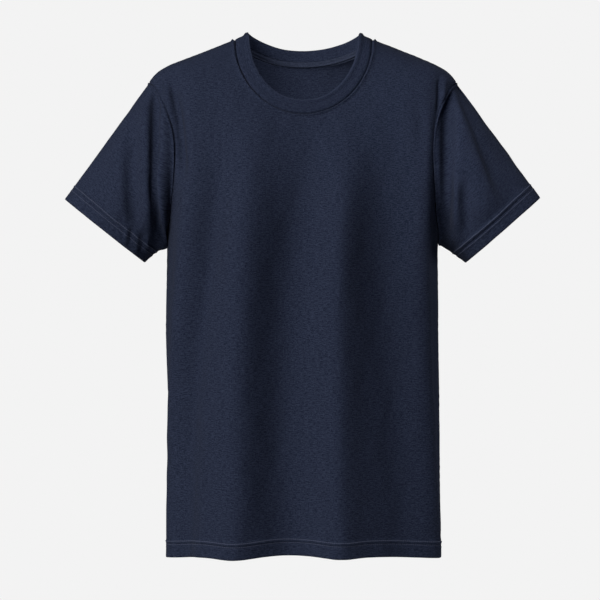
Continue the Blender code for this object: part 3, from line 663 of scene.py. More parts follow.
def coarse_panel(face, columns):
    """Girth angles and heights over a panel, the same grid as in its solid: rows go up
    from hem to neckline, blended between the four edges and laid back onto the body."""
    middle = 0.0 if face == "front" else math.pi
    hem_angle, hem_height = hem_line(face, columns)
    neck_angle, neck_height = neck_line(face, columns)
    side_turn, side_height = side_line(face)

    hem, neck = body_form(hem_angle, hem_height), body_form(neck_angle, neck_height)
    first = body_form(middle - side_turn, side_height)
    last = body_form(middle + side_turn, side_height)
    length = lengths(first, 0)
    v = (length / length[-1])[:, None, None]
    u = np.linspace(0, 1, columns + 1)[None, :, None]
    blend = ((1 - v) * hem[None] + v * neck[None] + (1 - u) * first[:, None] + u * last[:, None]
             - (1 - u) * (1 - v) * hem[0] - u * (1 - v) * hem[-1]
             - (1 - u) * v * neck[0] - u * v * neck[-1])
    inner = slice(1, -1)
    low = HEM_ROWS + 1
    for _ in range(RELAX_ROUNDS):
        below, above = blend[low - 1:-2, inner], blend[low + 1:, inner]
        beside = blend[low:-1, :-2] + blend[low:-1, 2:]
        blend[low:-1, inner] = body_form(*onto_body((below + above + beside) / 4, face))
    angle, height = onto_body(blend, face)

    for row in range(low):
        angle[row], height[row] = hem_angle, hem_height + side_height[row] - HEM_HEIGHT_SIDE
    angle[-1], height[-1] = neck_angle, neck_height
    angle[:, 0], height[:, 0] = middle - side_turn, side_height
    angle[:, -1], height[:, -1] = middle + side_turn, side_height
    return angle, height


# ---------------------------------------------------------------- fine grids
def cut_places(counts, at_start=(), at_end=()):
    """Fractional positions along coarse cells, each cut into its count of parts, with
    closer cuts in the cells named in at_start and at_end."""
    places = []
    for cell, count in enumerate(counts):
        parts = np.arange(count) / count
        if cell in at_start:
            parts = np.concatenate([[0], SEAM_CUTS])
        if cell in at_end:
            parts = np.concatenate([[0], 1 - np.array(SEAM_CUTS[::-1])])
        places.append(cell + parts)
    return np.concatenate(places + [[len(counts)]])


def row_places():
    """Where the fine rows lie between the coarse ones, from hem edge to neckline."""
    counts = [1] * HEM_ROWS + [SIDE_CUTS] * (SIDE_ROWS - 1)
    counts += [ARMHOLE_CUTS] * ARMHOLE_ROWS + [SHOULDER_CUTS] * SHOULDER_ROWS
    places = cut_places(counts, at_start=(HEM_ROWS, ARMPIT_ROW), at_end=(TOP_ROW - 1,))
    return np.concatenate([np.array(HEM_CUTS) / HEM_DEPTH, places[1:]])


Panel = namedtuple("Panel", "face base normal outer inner uv rows")


def level_arc(angle, height, centre):
    """Distance round the body's level oval from the centre line."""
    share = np.linspace(0, 1, ARC_SAMPLES).reshape(-1, *(1,) * angle.ndim)
    path = body_form(centre + share * (angle - centre), height + 0 * share)
    return np.sign(angle - centre) * lengths(path, 0)[-1]


def upward_arc(angle, height):
    """Distance up the cloth from the hem at the same girth angle."""
    share = np.linspace(0, 1, CLIMB_SAMPLES).reshape(-1, *(1,) * angle.ndim)
    path = body_form(angle + 0 * share, HEM_HEIGHT_FRONT + share * (height - HEM_HEIGHT_FRONT))
    return np.sign(height - HEM_HEIGHT_FRONT) * lengths(path, 0)[-1]


def rumple(across, up):
    """Soft unevenness: a sum of slanting waves."""
    total = 0 * across
    for wave in RUMPLE:
        total = total + wave.rise * np.sin(2 * math.pi * (across / wave.across + up / wave.up) + wave.phase)
    return total


def creases(face, x, z):
    """Sum of short soft troughs and ridges, each a bell across a bowed line."""
    total = 0 * x
    for crease in CREASES[face]:
        run_x, run_z = crease.to_x - crease.x, crease.to_z - crease.z
        length = math.hypot(run_x, run_z)
        along = ((x - crease.x) * run_x + (z - crease.z) * run_z) / length ** 2
        aside = ((x - crease.x) * -run_z + (z - crease.z) * run_x) / length
        aside = aside - crease.bow * (1 - (2 * along - 1) ** 2)
        ends = ramp(*CREASE_START, along) * (1 - ramp(*CREASE_END, along))
        total = total + crease.rise * ends * bell(aside, 0, crease.spread)
    return total


def seam_relief(distance, along, share=1.0):
    """Profile beside a seam: a dip at the seam and an uneven ridge over its allowance."""
    waves = np.sin(2 * math.pi * along / PUCKER_PITCH) * np.sin(along / PUCKER_DRIFT[2] + PUCKER_PHASE[1])
    uneven = 1 + SEAM_UNEVENNESS * waves
    ridge = share * SEAM_RIDGE * uneven * bell(distance, SEAM_RIDGE_AT, SEAM_RIDGE_WIDTH)
    return ridge - SEAM_DIP * bell(distance, 0, SEAM_DIP_WIDTH)


def edge_round(rise):
    """How far a quarter circle at the fold of a turned-up edge falls short of flat."""
    edge = np.clip(1 - rise / FOLD_EDGE_RADIUS, 0, 1)
    return FOLD_EDGE_RADIUS * (1 - np.sqrt(1 - edge ** 2))


def hem_relief(rise, along):
    """Profile of a turned-up edge: a rounded fold, the raised band and small puckers."""
    total = -edge_round(rise) + smooth(values(HEM_PROFILE, "rise"), values(HEM_PROFILE, "out"), rise)
    wander = PUCKER_WANDER * np.sin(along / PUCKER_DRIFT[0])
    waves = np.sin(2 * math.pi * along / PUCKER_PITCH + wander)
    strength = PUCKER_LEAST + (1 - PUCKER_LEAST) * np.sin(along / PUCKER_DRIFT[1] + PUCKER_PHASE[0])
    waves = waves * strength
    waves = waves * bell(rise, STITCH_ROWS[0].height, PUCKER_SPREAD) * ramp(0, EDGE_CALM, rise)
    return total + PUCKER * waves


def hem_wall(rise, depth):
    """Thickness of the cloth: thicker in the turned-up band, thinner towards its fold."""
    full = WALL + HEM_EXTRA_WALL * (1 - ramp(depth, depth + HEM_STEP, rise))
    return np.maximum(full - edge_round(rise), THINNEST_EDGE)


def fine_panel(face, columns, cuts):
    """Both sides of a panel's cloth: the folded body plus unevenness, creases and sewing
    along its normal, and the wall behind that."""
    angle, height = coarse_panel(face, columns)
    rows = row_places()
    across = cut_places([cuts] * columns, at_start=(0,), at_end=(columns - 1,))
    angle, height = refine(angle, rows, across), refine(height, rows, across)
    base, normal = body_surface(angle, height), body_normal(angle, height)

    centre = 0.0 if face == "front" else math.pi
    uv = np.stack([level_arc(angle, height, centre), upward_arc(angle, height)], axis=-1)
    walked, climbed = lengths(base, 1), lengths(base, 0)
    side = np.minimum(walked, walked[:, -1:] - walked)
    top = climbed[-1:] - climbed
    rise = height - height[:1]
    calm = ramp(0, SEAM_CALM, side) * ramp(0, SEAM_CALM, top)
    relief = (rumple(uv[..., 0], uv[..., 1]) + creases(face, base[..., 0], base[..., 2])) * calm
    relief = relief + seam_relief(side, climbed, BODY_RIDGE_SHARE)
    relief = relief + seam_relief(top, walked, NECK_RIDGE_SHARE)
    facing = RELIEF_AT_EDGES + (1 - RELIEF_AT_EDGES) * ramp(*RELIEF_FACING, np.abs(np.cos(angle)))
    relief = relief + hem_relief(rise, walked) * ramp(0, EDGE_CALM, side) * facing
    wall_here = hem_wall(rise, HEM_DEPTH)
    outer = base + relief[..., None] * normal
    inner = outer - wall_here[..., None] * normal
    return Panel(face, base, normal, outer, inner, uv, rows)


# ---------------------------------------------------------------- sleeves
def armhole_rows(panel):
    """Fine rows of a panel at the armpit and at the shoulder tip."""
    return [int(np.searchsorted(panel.rows, row)) for row in (ARMPIT_ROW, TIP_ROW)]


def side_columns(side):
    """Columns of the front and of the back that meet on the given side."""
    return (-1, 0) if side > 0 else (0, -1)


def armhole_loop(side, front, back):
    """Seam points round an armhole, down the front from the shoulder tip and up the back,
    with the cloth's normals there and the turn round the arm."""
    armpit, tip = armhole_rows(front)
    front_column, back_column = side_columns(side)
    down, up = np.arange(tip, armpit, -1), np.arange(armpit, tip)
    points = np.concatenate([front.base[down, front_column], back.base[up, back_column]])
    normals = np.concatenate([front.normal[down, front_column], back.normal[up, back_column]])
    half = (TIP_ROW - front.rows) / ARMHOLE_ROWS * math.pi
    turn = np.concatenate([half[down], 2 * math.pi - half[up]])
    return points, normals, turn


def sleeve_folds(sleeve, points, turn, from_root, from_cuff):
    """How far the sleeve's cloth stands out at each point."""
    out, height = np.abs(points[..., 0]), points[..., 2]
    total = 0 * out
    for fold in SLEEVE_FOLDS[sleeve.name]:
        facing = np.sin(turn) if fold.face == "front" else -np.sin(turn)
        line = smooth([fold.low_z, fold.mid_z, fold.top_z], [fold.low_x, fold.mid_x, fold.top_x], height)
        window = ramp(fold.low_z - SLEEVE_FOLD_FADE, fold.low_z + SLEEVE_FOLD_FADE, height)
        window = window * (1 - ramp(fold.top_z - SLEEVE_FOLD_FADE, fold.top_z + SLEEVE_FOLD_FADE, height))
        window = window * ramp(*SLEEVE_FOLD_FACING, facing)
        total = total + fold.rise * window * bell(out, line, fold.spread)
    near_cuff = CUFF_FOLD_SHARE + (1 - CUFF_FOLD_SHARE) * ramp(*CUFF_CALM, from_cuff)
    return total * ramp(0, SEAM_CALM, from_root) * near_cuff


def grid_normal(points, side):
    """Outward normals of a sleeve grid that is closed round its columns."""
    around = np.roll(points, -1, axis=1) - np.roll(points, 1, axis=1)
    along = np.gradient(points, axis=0)
    return unit(np.cross(around, along)) * side


def sleeve_shares():
    """Rows of a sleeve as distances from the armhole in shares of the length above the
    cuff band, with close rows beside the seam."""
    return np.concatenate([SLEEVE_SEAM_SHARES, np.linspace(SLEEVE_EVEN_FROM, 1, SLEEVE_EVEN_LINES)])


def fine_sleeve(sleeve, root, turn):
    """Folded surface of a sleeve and the relief on it: straight lines from the armhole to
    the cuff's oval, swelled by the sine squared of the turn times the sine of the share of
    the way to its power, with folds, seams and sewing."""
    tip = np.array([sleeve.side * sleeve.tip_x, CUFF_MIDDLE_Y, sleeve.tip_z])
    under = np.array([sleeve.side * sleeve.under_x, CUFF_MIDDLE_Y, sleeve.under_z])
    depth = np.array([0, -CUFF_HALF_DEPTH, 0])
    cosine, sine = np.cos(turn)[:, None], np.sin(turn)[:, None]
    cuff = (tip + under) / 2 + (tip - under) / 2 * cosine + depth * sine
    length = np.linalg.norm(cuff - root, axis=1)
    band = 1 - (CUFF_DEPTH + HEM_STEP) / length
    hem = 1 - np.array(HEM_CUTS)[::-1, None] * (CUFF_DEPTH / HEM_DEPTH) / length
    share = np.concatenate([sleeve_shares()[:, None] * band, 1 - CUFF_DEPTH / length[None], hem])
    straight = root + share[..., None] * (cuff - root)
    swell = SLEEVE_FULLNESS * np.sin(turn) ** 2 * np.sin(math.pi * share ** SLEEVE_SWELL_POWER)
    full = straight + swell[..., None] * grid_normal(straight, sleeve.side)
    normal = grid_normal(full, sleeve.side)
    from_root, from_cuff = share * length, (1 - share) * length
    folded = full + sleeve_folds(sleeve, full, turn, from_root, from_cuff)[..., None] * normal

    normal = grid_normal(folded, sleeve.side)
    around = lengths(np.concatenate([folded, folded[:, :1]], axis=1), 1)
    around, girth = around[:, :-1], around[:, -1:]
    at_under = np.abs(turn - math.pi).argmin()
    across = around - around[:, at_under:at_under + 1]
    calm = ramp(0, SEAM_CALM, from_root) * ramp(0, UNDERARM_CALM, np.abs(across))
    relief = rumple(across + sleeve.side, from_cuff) * calm
    in_front = np.sin(turn) > 0
    relief = relief + creases(sleeve.name, np.abs(folded[..., 0]), folded[..., 2]) * calm * in_front
    relief = relief + seam_relief(from_root, around, SLEEVE_RIDGE_SHARE)
    relief = relief + UNDERARM_SEAM_SHARE * seam_relief(np.abs(across), from_cuff)
    at_fold = 1 - (1 - RELIEF_AT_EDGES) * ramp(*RELIEF_CUFF_FOLDS, np.abs(np.cos(turn)))
    flare = CUFF_FLARE * (1 - ramp(0, CUFF_FLARE_DEPTH, from_cuff))
    relief = relief + at_fold * (hem_relief(from_cuff, around) + flare)
    return folded, normal, relief, from_cuff, across, girth


# ---------------------------------------------------------------- meshes
def cells(index):
    """Quads between neighbouring rows and columns of grids of indices."""
    corners = index[..., :-1, :-1], index[..., :-1, 1:], index[..., 1:, 1:], index[..., 1:, :-1]
    return np.stack(corners, axis=-1).reshape(-1, 4)


def make_piece(name, points, quads, uvs, material):
    """Mesh object at the origin, smooth shaded, with one UV for each corner."""
    mesh = bpy.data.meshes.new(name)
    mesh.vertices.add(len(points))
    mesh.vertices.foreach_set("co", points.astype(np.float32).ravel())
    mesh.loops.add(4 * len(quads))
    mesh.loops.foreach_set("vertex_index", quads.astype(np.int32).ravel())
    mesh.polygons.add(len(quads))
    mesh.polygons.foreach_set("loop_start", np.arange(0, 4 * len(quads), 4, dtype=np.int32))
    mesh.update(calc_edges=True)
    layer = mesh.uv_layers.new(name="cloth")
    layer.data.foreach_set("uv", uvs.astype(np.float32).ravel())
    mesh.shade_smooth()
    mesh.set_sharp_from_angle(angle=SHARP_ANGLE)
    mesh.materials.append(material)
    piece = bpy.data.objects.new(name, mesh)
    bpy.context.scene.collection.objects.link(piece)
    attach(piece, "root")
    return piece


def wall(name, outer, inner, uv, material, closed=False, flip=False, girth=None):
    """Closed wall between two matching grids of points, with its rims filled.  On a tube,
    girth closes the UV map round it."""
    rows, columns = outer.shape[:2]
    if closed:
        uv = np.concatenate([uv, uv[:, :1] + np.stack([girth, 0 * girth], axis=-1)], axis=1)
    point = np.arange(rows)[:, None] * columns + np.arange(uv.shape[1]) % columns
    outside = np.arange(point.size).reshape(point.shape)
    inside = outside + point.size
    quads = [cells(outside), cells(inside)[:, ::-1], cells(np.stack([inside[0], outside[0]])),
             cells(np.stack([outside[-1], inside[-1]]))]
    if not closed:
        quads += [cells(np.stack([outside[:, 0], inside[:, 0]])),
                  cells(np.stack([inside[:, -1], outside[:, -1]]))]
    quads = np.concatenate(quads)
    if flip:
        quads = quads[:, ::-1]
    point = np.concatenate([point.ravel(), point.ravel() + rows * columns])
    points = np.concatenate([outer.reshape(-1, 3), inner.reshape(-1, 3)])
    both_uv = np.tile(uv.reshape(-1, 2), (2, 1))
    return make_piece(name, points, point[quads], both_uv[quads.ravel()], material)


def through(direction, normal, thickness):
    """Step inward along a seam's mitre that keeps the wall's thickness."""
    lean = np.maximum((direction * normal).sum(axis=-1, keepdims=True), LEAST_MITRE)
    return -direction * thickness / lean


def thread_row(path, normal, thickest, closed=False):
    """Points and quads of a row of short raised stitches along a line on the cloth.  Each
    is a six-sided rod, rounded off at both ends as its table says."""
    if closed:
        path, normal = np.concatenate([path, path[:1]]), np.concatenate([normal, normal[:1]])
    walked = lengths(path, 0)
    count = int(walked[-1] / STITCH_PITCH)
    centre = (np.arange(count) + 0.5) * walked[-1] / count
    at = centre[:, None] + values(STITCH_RINGS, "place") * STITCH_LENGTH / 2
    here = np.stack([np.interp(at, walked, path[:, axis]) for axis in range(3)], axis=-1)
    up = unit(np.stack([np.interp(at, walked, normal[:, axis]) for axis in range(3)], axis=-1))
    along = unit(here[:, -1:] - here[:, :1])
    aside = unit(np.cross(up, along + 0 * up))
    radius = thickest * values(STITCH_RINGS, "radius")[None, :, None, None]
    spin = np.linspace(0, 2 * math.pi, STITCH_SIDES, endpoint=False)[None, None, :, None]
    points = here[:, :, None] + radius * (np.cos(spin) * aside[:, :, None] + np.sin(spin) * up[:, :, None])
    index = np.arange(points.size // 3).reshape(points.shape[:3])
    quads = cells(np.concatenate([index, index[:, :, :1]], axis=2))
    start, end = index[:, 0], index[:, -1]
    caps = [start[:, [0, 5, 4, 3]], start[:, [3, 2, 1, 0]], end[:, [0, 1, 2, 3]], end[:, [3, 4, 5, 0]]]
    return points.reshape(-1, 3), np.concatenate([quads] + caps)


def sew(name, rows, material, closed=False):
    """One object for several rows of stitches."""
    points, quads, total = [], [], 0
    for (path, normal), row in zip(rows, STITCH_ROWS):
        new_points, new_quads = thread_row(path, normal, row.thread_radius, closed)
        points.append(new_points)
        quads.append(new_quads + total)
        total += len(new_points)
    points, quads = np.concatenate(points), np.concatenate(quads)
    uvs = points[quads.ravel()][:, [0, 2]]
    return make_piece(name, points, quads, uvs, material)


# ---------------------------------------------------------------- finishes
def new_finish(name, roughness, sheen):
    """Material with its fixed values on the shader's own sockets."""
    finish = bpy.data.materials.new(name)
    finish.use_nodes = True
    shader = finish.node_tree.nodes["Principled BSDF"]
    shader.inputs["Roughness"].default_value = roughness
    shader.inputs["Metallic"].default_value = 0.0
    shader.inputs["Specular IOR Level"].default_value = SPECULAR
    shader.inputs["Sheen Weight"].default_value = sheen
    shader.inputs["Sheen Roughness"].default_value = SHEEN_ROUGHNESS
    return finish, finish.node_tree, shader


def add(tree, kind, **settings):
    """New node with its settings."""
    node = tree.nodes.new(kind)
    for name, value in settings.items():
        setattr(node, name, value)
    return node


def plug(tree, source, node, socket):
    """Link an output to a node's input."""
    tree.links.new(source, node.inputs[socket])


def maths(tree, operation, first, second=None):
    """Output of one arithmetic step on values or other outputs."""
    node = add(tree, "ShaderNodeMath", operation=operation)
    for socket, value in enumerate((first, second)):
        if value is None:
            continue
        if isinstance(value, (int, float)):
            node.inputs[socket].default_value = value
        else:
            plug(tree, value, node, socket)
    return node.outputs[0]


def streaks(tree, source, length, thickness, detail):
    """Noise drawn out across the cloth: length and thickness of its flecks in metres."""
    mapping = add(tree, "ShaderNodeMapping")
    mapping.inputs["Scale"].default_value = (1 / length, 1 / thickness, 1)
    plug(tree, source, mapping, "Vector")
    noise = add(tree, "ShaderNodeTexNoise")
    noise.inputs["Scale"].default_value = 1.0
    noise.inputs["Detail"].default_value = detail
    noise.inputs["Roughness"].default_value = NOISE_ROUGHNESS
    plug(tree, mapping.outputs["Vector"], noise, "Vector")
    return noise.outputs["Fac"]


def blended(tree, weights):
    """Weighted sum of several patterns."""
    total = None
    for pattern, weight in weights:
        part = maths(tree, "MULTIPLY", pattern, weight)
        total = part if total is None else maths(tree, "ADD", total, part)
    return total


def tint(tree, shader, pattern, tones, span=(0, 1)):
    """Colour that runs from the dark to the light tone with a pattern."""
    colours = add(tree, "ShaderNodeValToRGB")
    for element, place, tone in zip(colours.color_ramp.elements, span, tones):
        element.position, element.color = place, (*tone, 1)
    plug(tree, pattern, colours, "Fac")
    plug(tree, colours.outputs["Color"], shader, "Base Color")


def roughen(tree, shader, height, distance):
    """Fine relief from a pattern."""
    bumps = add(tree, "ShaderNodeBump")
    bumps.inputs["Strength"].default_value = 1.0
    bumps.inputs["Distance"].default_value = distance
    plug(tree, height, bumps, "Height")
    plug(tree, bumps.outputs["Normal"], shader, "Normal")


def knit_finish(name, tones, wale, course, fold_at=None):
    """Knitted jersey: V stitches of the given size, uneven yarn and a heathered colour,
    with a painted highlight, a paler colour, along the line where the cloth is folded."""
    finish, tree, shader = new_finish(name, *KNIT_SURFACE)
    place = add(tree, "ShaderNodeUVMap", uv_map="cloth").outputs["UV"]
    split = add(tree, "ShaderNodeSeparateXYZ")
    plug(tree, place, split, "Vector")
    aside = maths(tree, "PINGPONG", maths(tree, "DIVIDE", split.outputs["X"], wale), 0.5)
    up = maths(tree, "DIVIDE", split.outputs["Y"], course)
    slanted = maths(tree, "ADD", up, maths(tree, "MULTIPLY", aside, LOOP_SLANT))
    loop = maths(tree, "SINE", maths(tree, "MULTIPLY", slanted, 2 * math.pi))
    wales = maths(tree, "SINE", maths(tree, "MULTIPLY", aside, 2 * math.pi))
    flecks = [(streaks(tree, place, fleck.length, fleck.thickness, fleck.detail), fleck) for fleck in FLECKS]
    tone = blended(tree, [(pattern, fleck.tone) for pattern, fleck in flecks])
    # Painted highlight: the tone is lifted in a narrow band along the fold line.
    if fold_at:
        off = maths(tree, "ABSOLUTE", maths(tree, "SUBTRACT", split.outputs["Y"], fold_at))
        near = maths(tree, "SUBTRACT", 1.0, maths(tree, "DIVIDE", off, PAINTED_FOLD_HIGHLIGHT_WIDTH))
        pale = maths(tree, "MULTIPLY", maths(tree, "MAXIMUM", near, 0.0), PAINTED_FOLD_HIGHLIGHT)
        tone = maths(tree, "ADD", tone, pale)
    tint(tree, shader, tone, tones, TONE_SPAN)
    relief = [(loop, LOOP_RELIEF), (wales, WALE_RELIEF)]
    relief += [(pattern, fleck.relief) for pattern, fleck in flecks]
    roughen(tree, shader, blended(tree, relief), KNIT_BUMP)
    return finish


def thread_finish(name, tones):
    """Sewing thread: a fine twist of two tones."""
    finish, tree, shader = new_finish(name, *THREAD_SURFACE)
    place = add(tree, "ShaderNodeUVMap", uv_map="cloth").outputs["UV"]
    twist = streaks(tree, place, *TWIST, detail=2.0)
    tint(tree, shader, twist, tones)
    roughen(tree, shader, twist, TWIST_BUMP)
    return finish


def floor_finish():
    """Pale matt floor with a faint cloudy grain."""
    finish, tree, shader = new_finish("pale floor", *FLOOR_SURFACE)
    grain = add(tree, "ShaderNodeTexNoise")
    grain.inputs["Scale"].default_value = FLOOR_GRAIN
    plug(tree, add(tree, "ShaderNodeTexCoord").outputs["Object"], grain, "Vector")
    tint(tree, shader, grain.outputs["Fac"], FLOOR_TONES)
    return finish


# ---------------------------------------------------------------- the garment
def part_straight_seams(front, back):
    """Part the side seams and the shoulder seams by the seam gap."""
    armpit, tip = armhole_rows(front)
    for panel, way in ((front, -1), (back, 1)):
        for column in (0, -1):
            for rows in (slice(0, armpit + 1), slice(tip, None)):
                panel.outer[rows, column, 1] += way * HALF_GAP
                panel.inner[rows, column, 1] += way * HALF_GAP


SleeveCloth = namedtuple("SleeveCloth", "name piece outer normal from_cuff")


def set_in(sleeve, front, back, material):
    """Cloth of a sleeve, mitred to both panels round the armhole."""
    root, body_side, turn = armhole_loop(sleeve.side, front, back)
    folded, normal, relief, from_cuff, across, girth = fine_sleeve(sleeve, root, turn)
    shared = unit(body_side + normal[0])
    along = unit(np.roll(root, -1, axis=0) - np.roll(root, 1, axis=0))
    away = unit(np.cross(along, shared)) * sleeve.side
    into_sleeve = folded[SLEEVE_NEAR_ROW] - root
    away = away * np.sign((away * into_sleeve).sum(axis=-1, keepdims=True))
    outer = folded + relief[..., None] * normal
    outer[0] = root + relief[0][:, None] * shared + HALF_GAP * away
    inner = outer - normal * hem_wall(from_cuff, CUFF_DEPTH)[..., None]
    inner[0] = outer[0] + through(shared, normal[0], WALL)
    uv = np.stack([across, from_cuff], axis=-1)
    piece = wall(sleeve.name + "_cloth", outer, inner, uv, material, closed=True,
                 flip=sleeve.side < 0, girth=girth)

    armpit, tip = armhole_rows(front)
    half = tip - armpit
    front_column, back_column = side_columns(sleeve.side)
    down, up = np.arange(tip, armpit - 1, -1), np.arange(armpit, tip + 1)
    front_part, back_part = np.arange(half + 1), np.arange(half, 2 * half + 1) % (2 * half)
    for panel, column, rows, part in ((front, front_column, down, front_part),
                                      (back, back_column, up, back_part)):
        sunk = root[part] + relief[0][part][:, None] * shared[part] - HALF_GAP * away[part]
        panel.outer[rows, column] = sunk
        panel.inner[rows, column] = sunk + through(shared[part], body_side[part], WALL)
    return SleeveCloth(sleeve.name, piece, outer, normal, from_cuff)


NeckSeam = namedtuple("NeckSeam", "points normal to_neck back_part")


def part_neck_seam(front, back):
    """Part the panels from the rib.  Gives the points of the seam, the cloth's normals and
    the ways into the neck there, and which of them the back panel has."""
    points = np.concatenate([front.base[-1, :-1], back.base[-1, :-1]])
    normal = np.concatenate([front.normal[-1, :-1], back.normal[-1, :-1]])
    along = unit(np.roll(points, -1, axis=0) - np.roll(points, 1, axis=0))
    to_neck = unit(np.cross(normal, along))
    front_count = front.base.shape[1] - 1
    front_part = np.arange(front_count + 1)
    back_part = np.arange(front_count, len(points) + 1) % len(points)
    for panel, part in ((front, front_part), (back, back_part)):
        panel.outer[-1] -= HALF_GAP * to_neck[part]
        panel.inner[-1] -= HALF_GAP * to_neck[part]
    return NeckSeam(points, normal, to_neck, back_part)


def rib_profile():
    """Section of the folded rib: up its outside, round the fold and down its inside."""
    nose = RIB_WALL / 2
    fold = RIB_WIDTH - nose
    turn = np.linspace(math.pi / 2, -math.pi / 2, RIB_FOLD_POINTS)
    inside = np.linspace(fold, 0.0, RIB_INSIDE_POINTS)[1:]
    rise = np.concatenate([values(RIB_OUTSIDE, "rise"), fold + nose * np.cos(turn), inside])
    out = np.concatenate([values(RIB_OUTSIDE, "out"), nose * np.sin(turn) - nose, 0 * inside - RIB_WALL])
    return rise, out


def neck_band(seam, material):
    """Rib band: its section carried round the neck seam, leaning inward at the front and
    standing up behind the neck.  Gives the piece, its rings and its outward ways."""
    behind = ramp(0.0, RIB_LIFT_FULL_AT * seam.points[:, 1].max(), seam.points[:, 1])[:, None]
    lift = RIB_LIFT_FRONT + (RIB_LIFT_BACK - RIB_LIFT_FRONT) * behind
    upward = seam.to_neck * np.cos(lift) + seam.normal * np.sin(lift)
    outward = seam.normal * np.cos(lift) - seam.to_neck * np.sin(lift)
    foot = seam.points + HALF_GAP * seam.to_neck
    rise, out = rib_profile()
    lean = ramp(0.0, RIB_LEAN_FULL_AT, rise)[:, None, None]
    direction = unit((1 - lean) * seam.normal + lean * outward)
    rings = foot + rise[:, None, None] * upward + out[:, None, None] * direction

    walked = lengths(np.concatenate([seam.points, seam.points[:1]]), 0)
    profile = lengths(np.stack([rise, out], axis=-1), 0)
    index = np.arange(rings.shape[0] * rings.shape[1]).reshape(rings.shape[:2])
    uv = np.stack(np.broadcast_arrays(walked[None], profile[:, None]), axis=-1)
    uv = np.concatenate([uv, uv[:1] + (0, profile[-1] + RIB_WALL)])
    sheet = np.arange(uv.shape[0] * uv.shape[1]).reshape(uv.shape[:2])
    piece = make_piece("neck_rib_cloth", rings.reshape(-1, 3), cells(np.pad(index, (0, 1), mode="wrap")),
                       uv.reshape(-1, 2)[cells(sheet).ravel()], material)
    return piece, rings, outward


def neck_tape(seam, rings, out_rib, back, material):
    """Tape over the back neck seam on the inside, from the panel across to the rib."""
    ends = TAPE_END_COLUMN * BACK_CUTS
    inside = slice(ends, -ends - 1)
    part = seam.back_part[inside]
    rib_foot, rib_above = rings[-1][part], rings[TAPE_RIB_RING][part]
    panel_edge, panel_below = back.inner[-1, inside], back.inner[TAPE_PANEL_ROW, inside]
    off_panel, off_rib = -seam.normal[part], -out_rib[part]
    up_tape, down_tape = unit(rib_above - rib_foot), unit(panel_below - panel_edge)
    outer, under = [], []
    for point in TAPE_PROFILE:
        if point.place < 0:
            spot = panel_edge - down_tape * TAPE_BELOW_SEAM * point.place
        else:
            spot = rib_foot + up_tape * TAPE_ABOVE_SEAM * point.place
        way = unit(off_panel * (1 - point.place) + off_rib * (1 + point.place))
        under.append(spot + way * TAPE_GAP)
        outer.append(spot + way * (TAPE_GAP + point.proud))
    outer, under = np.stack(outer), np.stack(under)
    uv = np.stack([lengths(outer, 1), lengths(outer, 0)], axis=-1)
    return wall("neck_tape_cloth", outer, under, uv, material, flip=True)


def stitches(name, heights, depth, outer, normal, material, closed=False):
    """Two rows of stitches along the grid rows nearest to their heights in a hem's band."""
    rows = [np.abs(heights - row.height * depth / HEM_DEPTH).argmin() for row in STITCH_ROWS]
    return sew(name, [(outer[row], normal[row]) for row in rows], material, closed)


jersey = knit_finish("navy jersey", JERSEY_TONES, *JERSEY_LOOP)
# The rib's finish has a painted highlight along its fold.
rib_knit = knit_finish("navy rib", RIB_TONES, *RIB_LOOP, RIB_FOLD_AT)
tape_knit = knit_finish("navy tape", TAPE_TONES, *TAPE_LOOP)
thread = thread_finish("navy thread", THREAD_TONES)

front = fine_panel("front", FRONT_COLUMNS, FRONT_CUTS)
back = fine_panel("back", BACK_COLUMNS, BACK_CUTS)
part_straight_seams(front, back)
sleeves = [set_in(sleeve, front, back, jersey) for sleeve in SLEEVES]
neck_seam = part_neck_seam(front, back)
front_piece, back_piece = [wall(panel.face + "_cloth", panel.outer, panel.inner, panel.uv, jersey)
                           for panel in (front, back)]
rib_piece, rib_rings, out_of_rib = neck_band(neck_seam, rib_knit)
tape_piece = neck_tape(neck_seam, rib_rings, out_of_rib, back, tape_knit)
ends = slice(STITCH_END_COLUMNS, -STITCH_END_COLUMNS)
stitching = [stitches("hem_stitches_" + panel.face, panel.rows * HEM_DEPTH, HEM_DEPTH,
                      panel.outer[:, ends], panel.normal[:, ends], thread) for panel in (front, back)]
stitching += [stitches(cloth.name.replace("sleeve", "cuff_stitches"), cloth.from_cuff[:, 0], CUFF_DEPTH,
                       cloth.outer, cloth.normal, thread, closed=True) for cloth in sleeves]

# ---------------------------------------------------------------- hide the solids that the cloth pieces replace
for piece, node, slot in ((front_piece, "front_panel", "navy_jersey"),
                          (back_piece, "back_panel", "navy_jersey"),
                          (sleeves[0].piece, "sleeve_right", "navy_jersey"),
                          (sleeves[1].piece, "sleeve_left", "navy_jersey"),
                          (rib_piece, "neck_rib", "navy_rib"),
                          (tape_piece, "neck_tape", "neck_tape")):
    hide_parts(node)


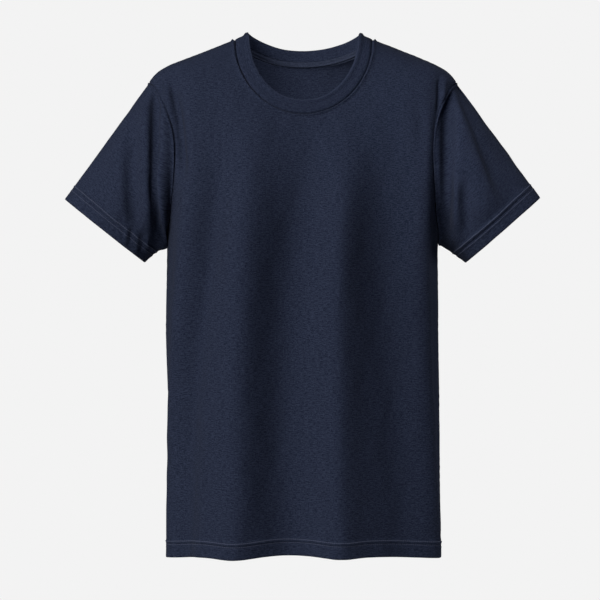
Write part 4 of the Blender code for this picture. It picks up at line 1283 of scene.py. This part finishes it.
# ---------------------------------------------------------------- studio
def studio():
    """Pale floor and surroundings, four large soft lights, a narrow one on the left sleeve,
    a small lamp inside the neck, and the camera."""
    scene = bpy.context.scene
    scene.view_settings.view_transform = "Standard"
    world = bpy.data.worlds.new("studio")
    scene.world = world
    world.use_nodes = True
    tree = world.node_tree
    tree.nodes.clear()
    seen, ambient = add(tree, "ShaderNodeBackground"), add(tree, "ShaderNodeBackground")
    seen.inputs["Color"].default_value = (BACKGROUND, BACKGROUND, BACKGROUND, 1)
    ambient.inputs["Color"].default_value = (*AMBIENT_TINT, 1)
    ambient.inputs["Strength"].default_value = AMBIENT_STRENGTH
    chosen, output = add(tree, "ShaderNodeMixShader"), add(tree, "ShaderNodeOutputWorld")
    plug(tree, add(tree, "ShaderNodeLightPath").outputs["Is Camera Ray"], chosen, 0)
    plug(tree, ambient.outputs[0], chosen, 1)
    plug(tree, seen.outputs[0], chosen, 2)
    plug(tree, chosen.outputs[0], output, "Surface")

    mesh = bpy.data.meshes.new("floor")
    corners = [(x * FLOOR_HALF_WIDTH, y * FLOOR_HALF_WIDTH, -FLOOR_DEPTH)
               for x, y in ((-1, -1), (1, -1), (1, 1), (-1, 1))]
    mesh.from_pydata(corners, [], [(0, 1, 2, 3)])
    mesh.materials.append(floor_finish())
    floor = bpy.data.objects.new("floor", mesh)
    scene.collection.objects.link(floor)

    for light in LIGHTS:
        soft_light(light)
    narrow_light(SLEEVE_SPOT)
    inside_lamp()

    camera = bpy.data.objects.new("camera", bpy.data.cameras.new("camera"))
    scene.collection.objects.link(camera)
    camera.data.sensor_width = SENSOR_WIDTH
    camera.data.lens = SENSOR_WIDTH * CAMERA_DISTANCE / VIEW_WIDTH
    camera.data.clip_end = CAMERA_FAR
    camera.location = (CAMERA_X, -CAMERA_DISTANCE, CAMERA_Z)
    camera.rotation_euler = (math.pi / 2, 0, 0)
    scene.camera = camera


def stand(data, place, aim):
    """Stand a light at a place, turned towards its aim by its way's tangents."""
    lamp = bpy.data.objects.new(data.name, data)
    bpy.context.scene.collection.objects.link(lamp)
    x, y, z = np.subtract(aim, place)
    lamp.location = place
    lamp.rotation_euler = (math.pi / 2 + math.atan2(z, math.hypot(x, y)), 0, math.atan2(-x, y))
    return lamp


def lamp_place(light, aim):
    """Place at LIGHT_DISTANCE from an aim, on a light's compass turn and height."""
    turn, lift = math.radians(light.turn), math.radians(light.lift)
    way = (math.sin(turn) * math.cos(lift), -math.cos(turn) * math.cos(lift), math.sin(lift))
    return np.array(aim) + LIGHT_DISTANCE * np.array(way)


def soft_light(light):
    """Square area light aimed at the chest."""
    data = bpy.data.lights.new(light.name, "AREA")
    data.size, data.energy, data.color = light.size, light.power, STUDIO_TINT
    stand(data, lamp_place(light, LIGHTS_AIM), LIGHTS_AIM)


def narrow_light(spot):
    """Soft-edged spot."""
    data = bpy.data.lights.new(spot.name, "SPOT")
    data.energy, data.shadow_soft_size = spot.power, SPOT_SOFTNESS
    data.spot_size, data.spot_blend = math.radians(spot.spread), 1.0
    aim = (spot.x, spot.y, spot.z)
    stand(data, lamp_place(spot, aim), aim)


def inside_lamp():
    """Small area light inside the shirt that the camera can't see."""
    data = bpy.data.lights.new("inside", "AREA")
    data.size, data.energy = INSIDE_LAMP_SIZE, INSIDE_LAMP_POWER
    stand(data, INSIDE_LAMP_AT, INSIDE_LAMP_AIM).visible_camera = False


studio()
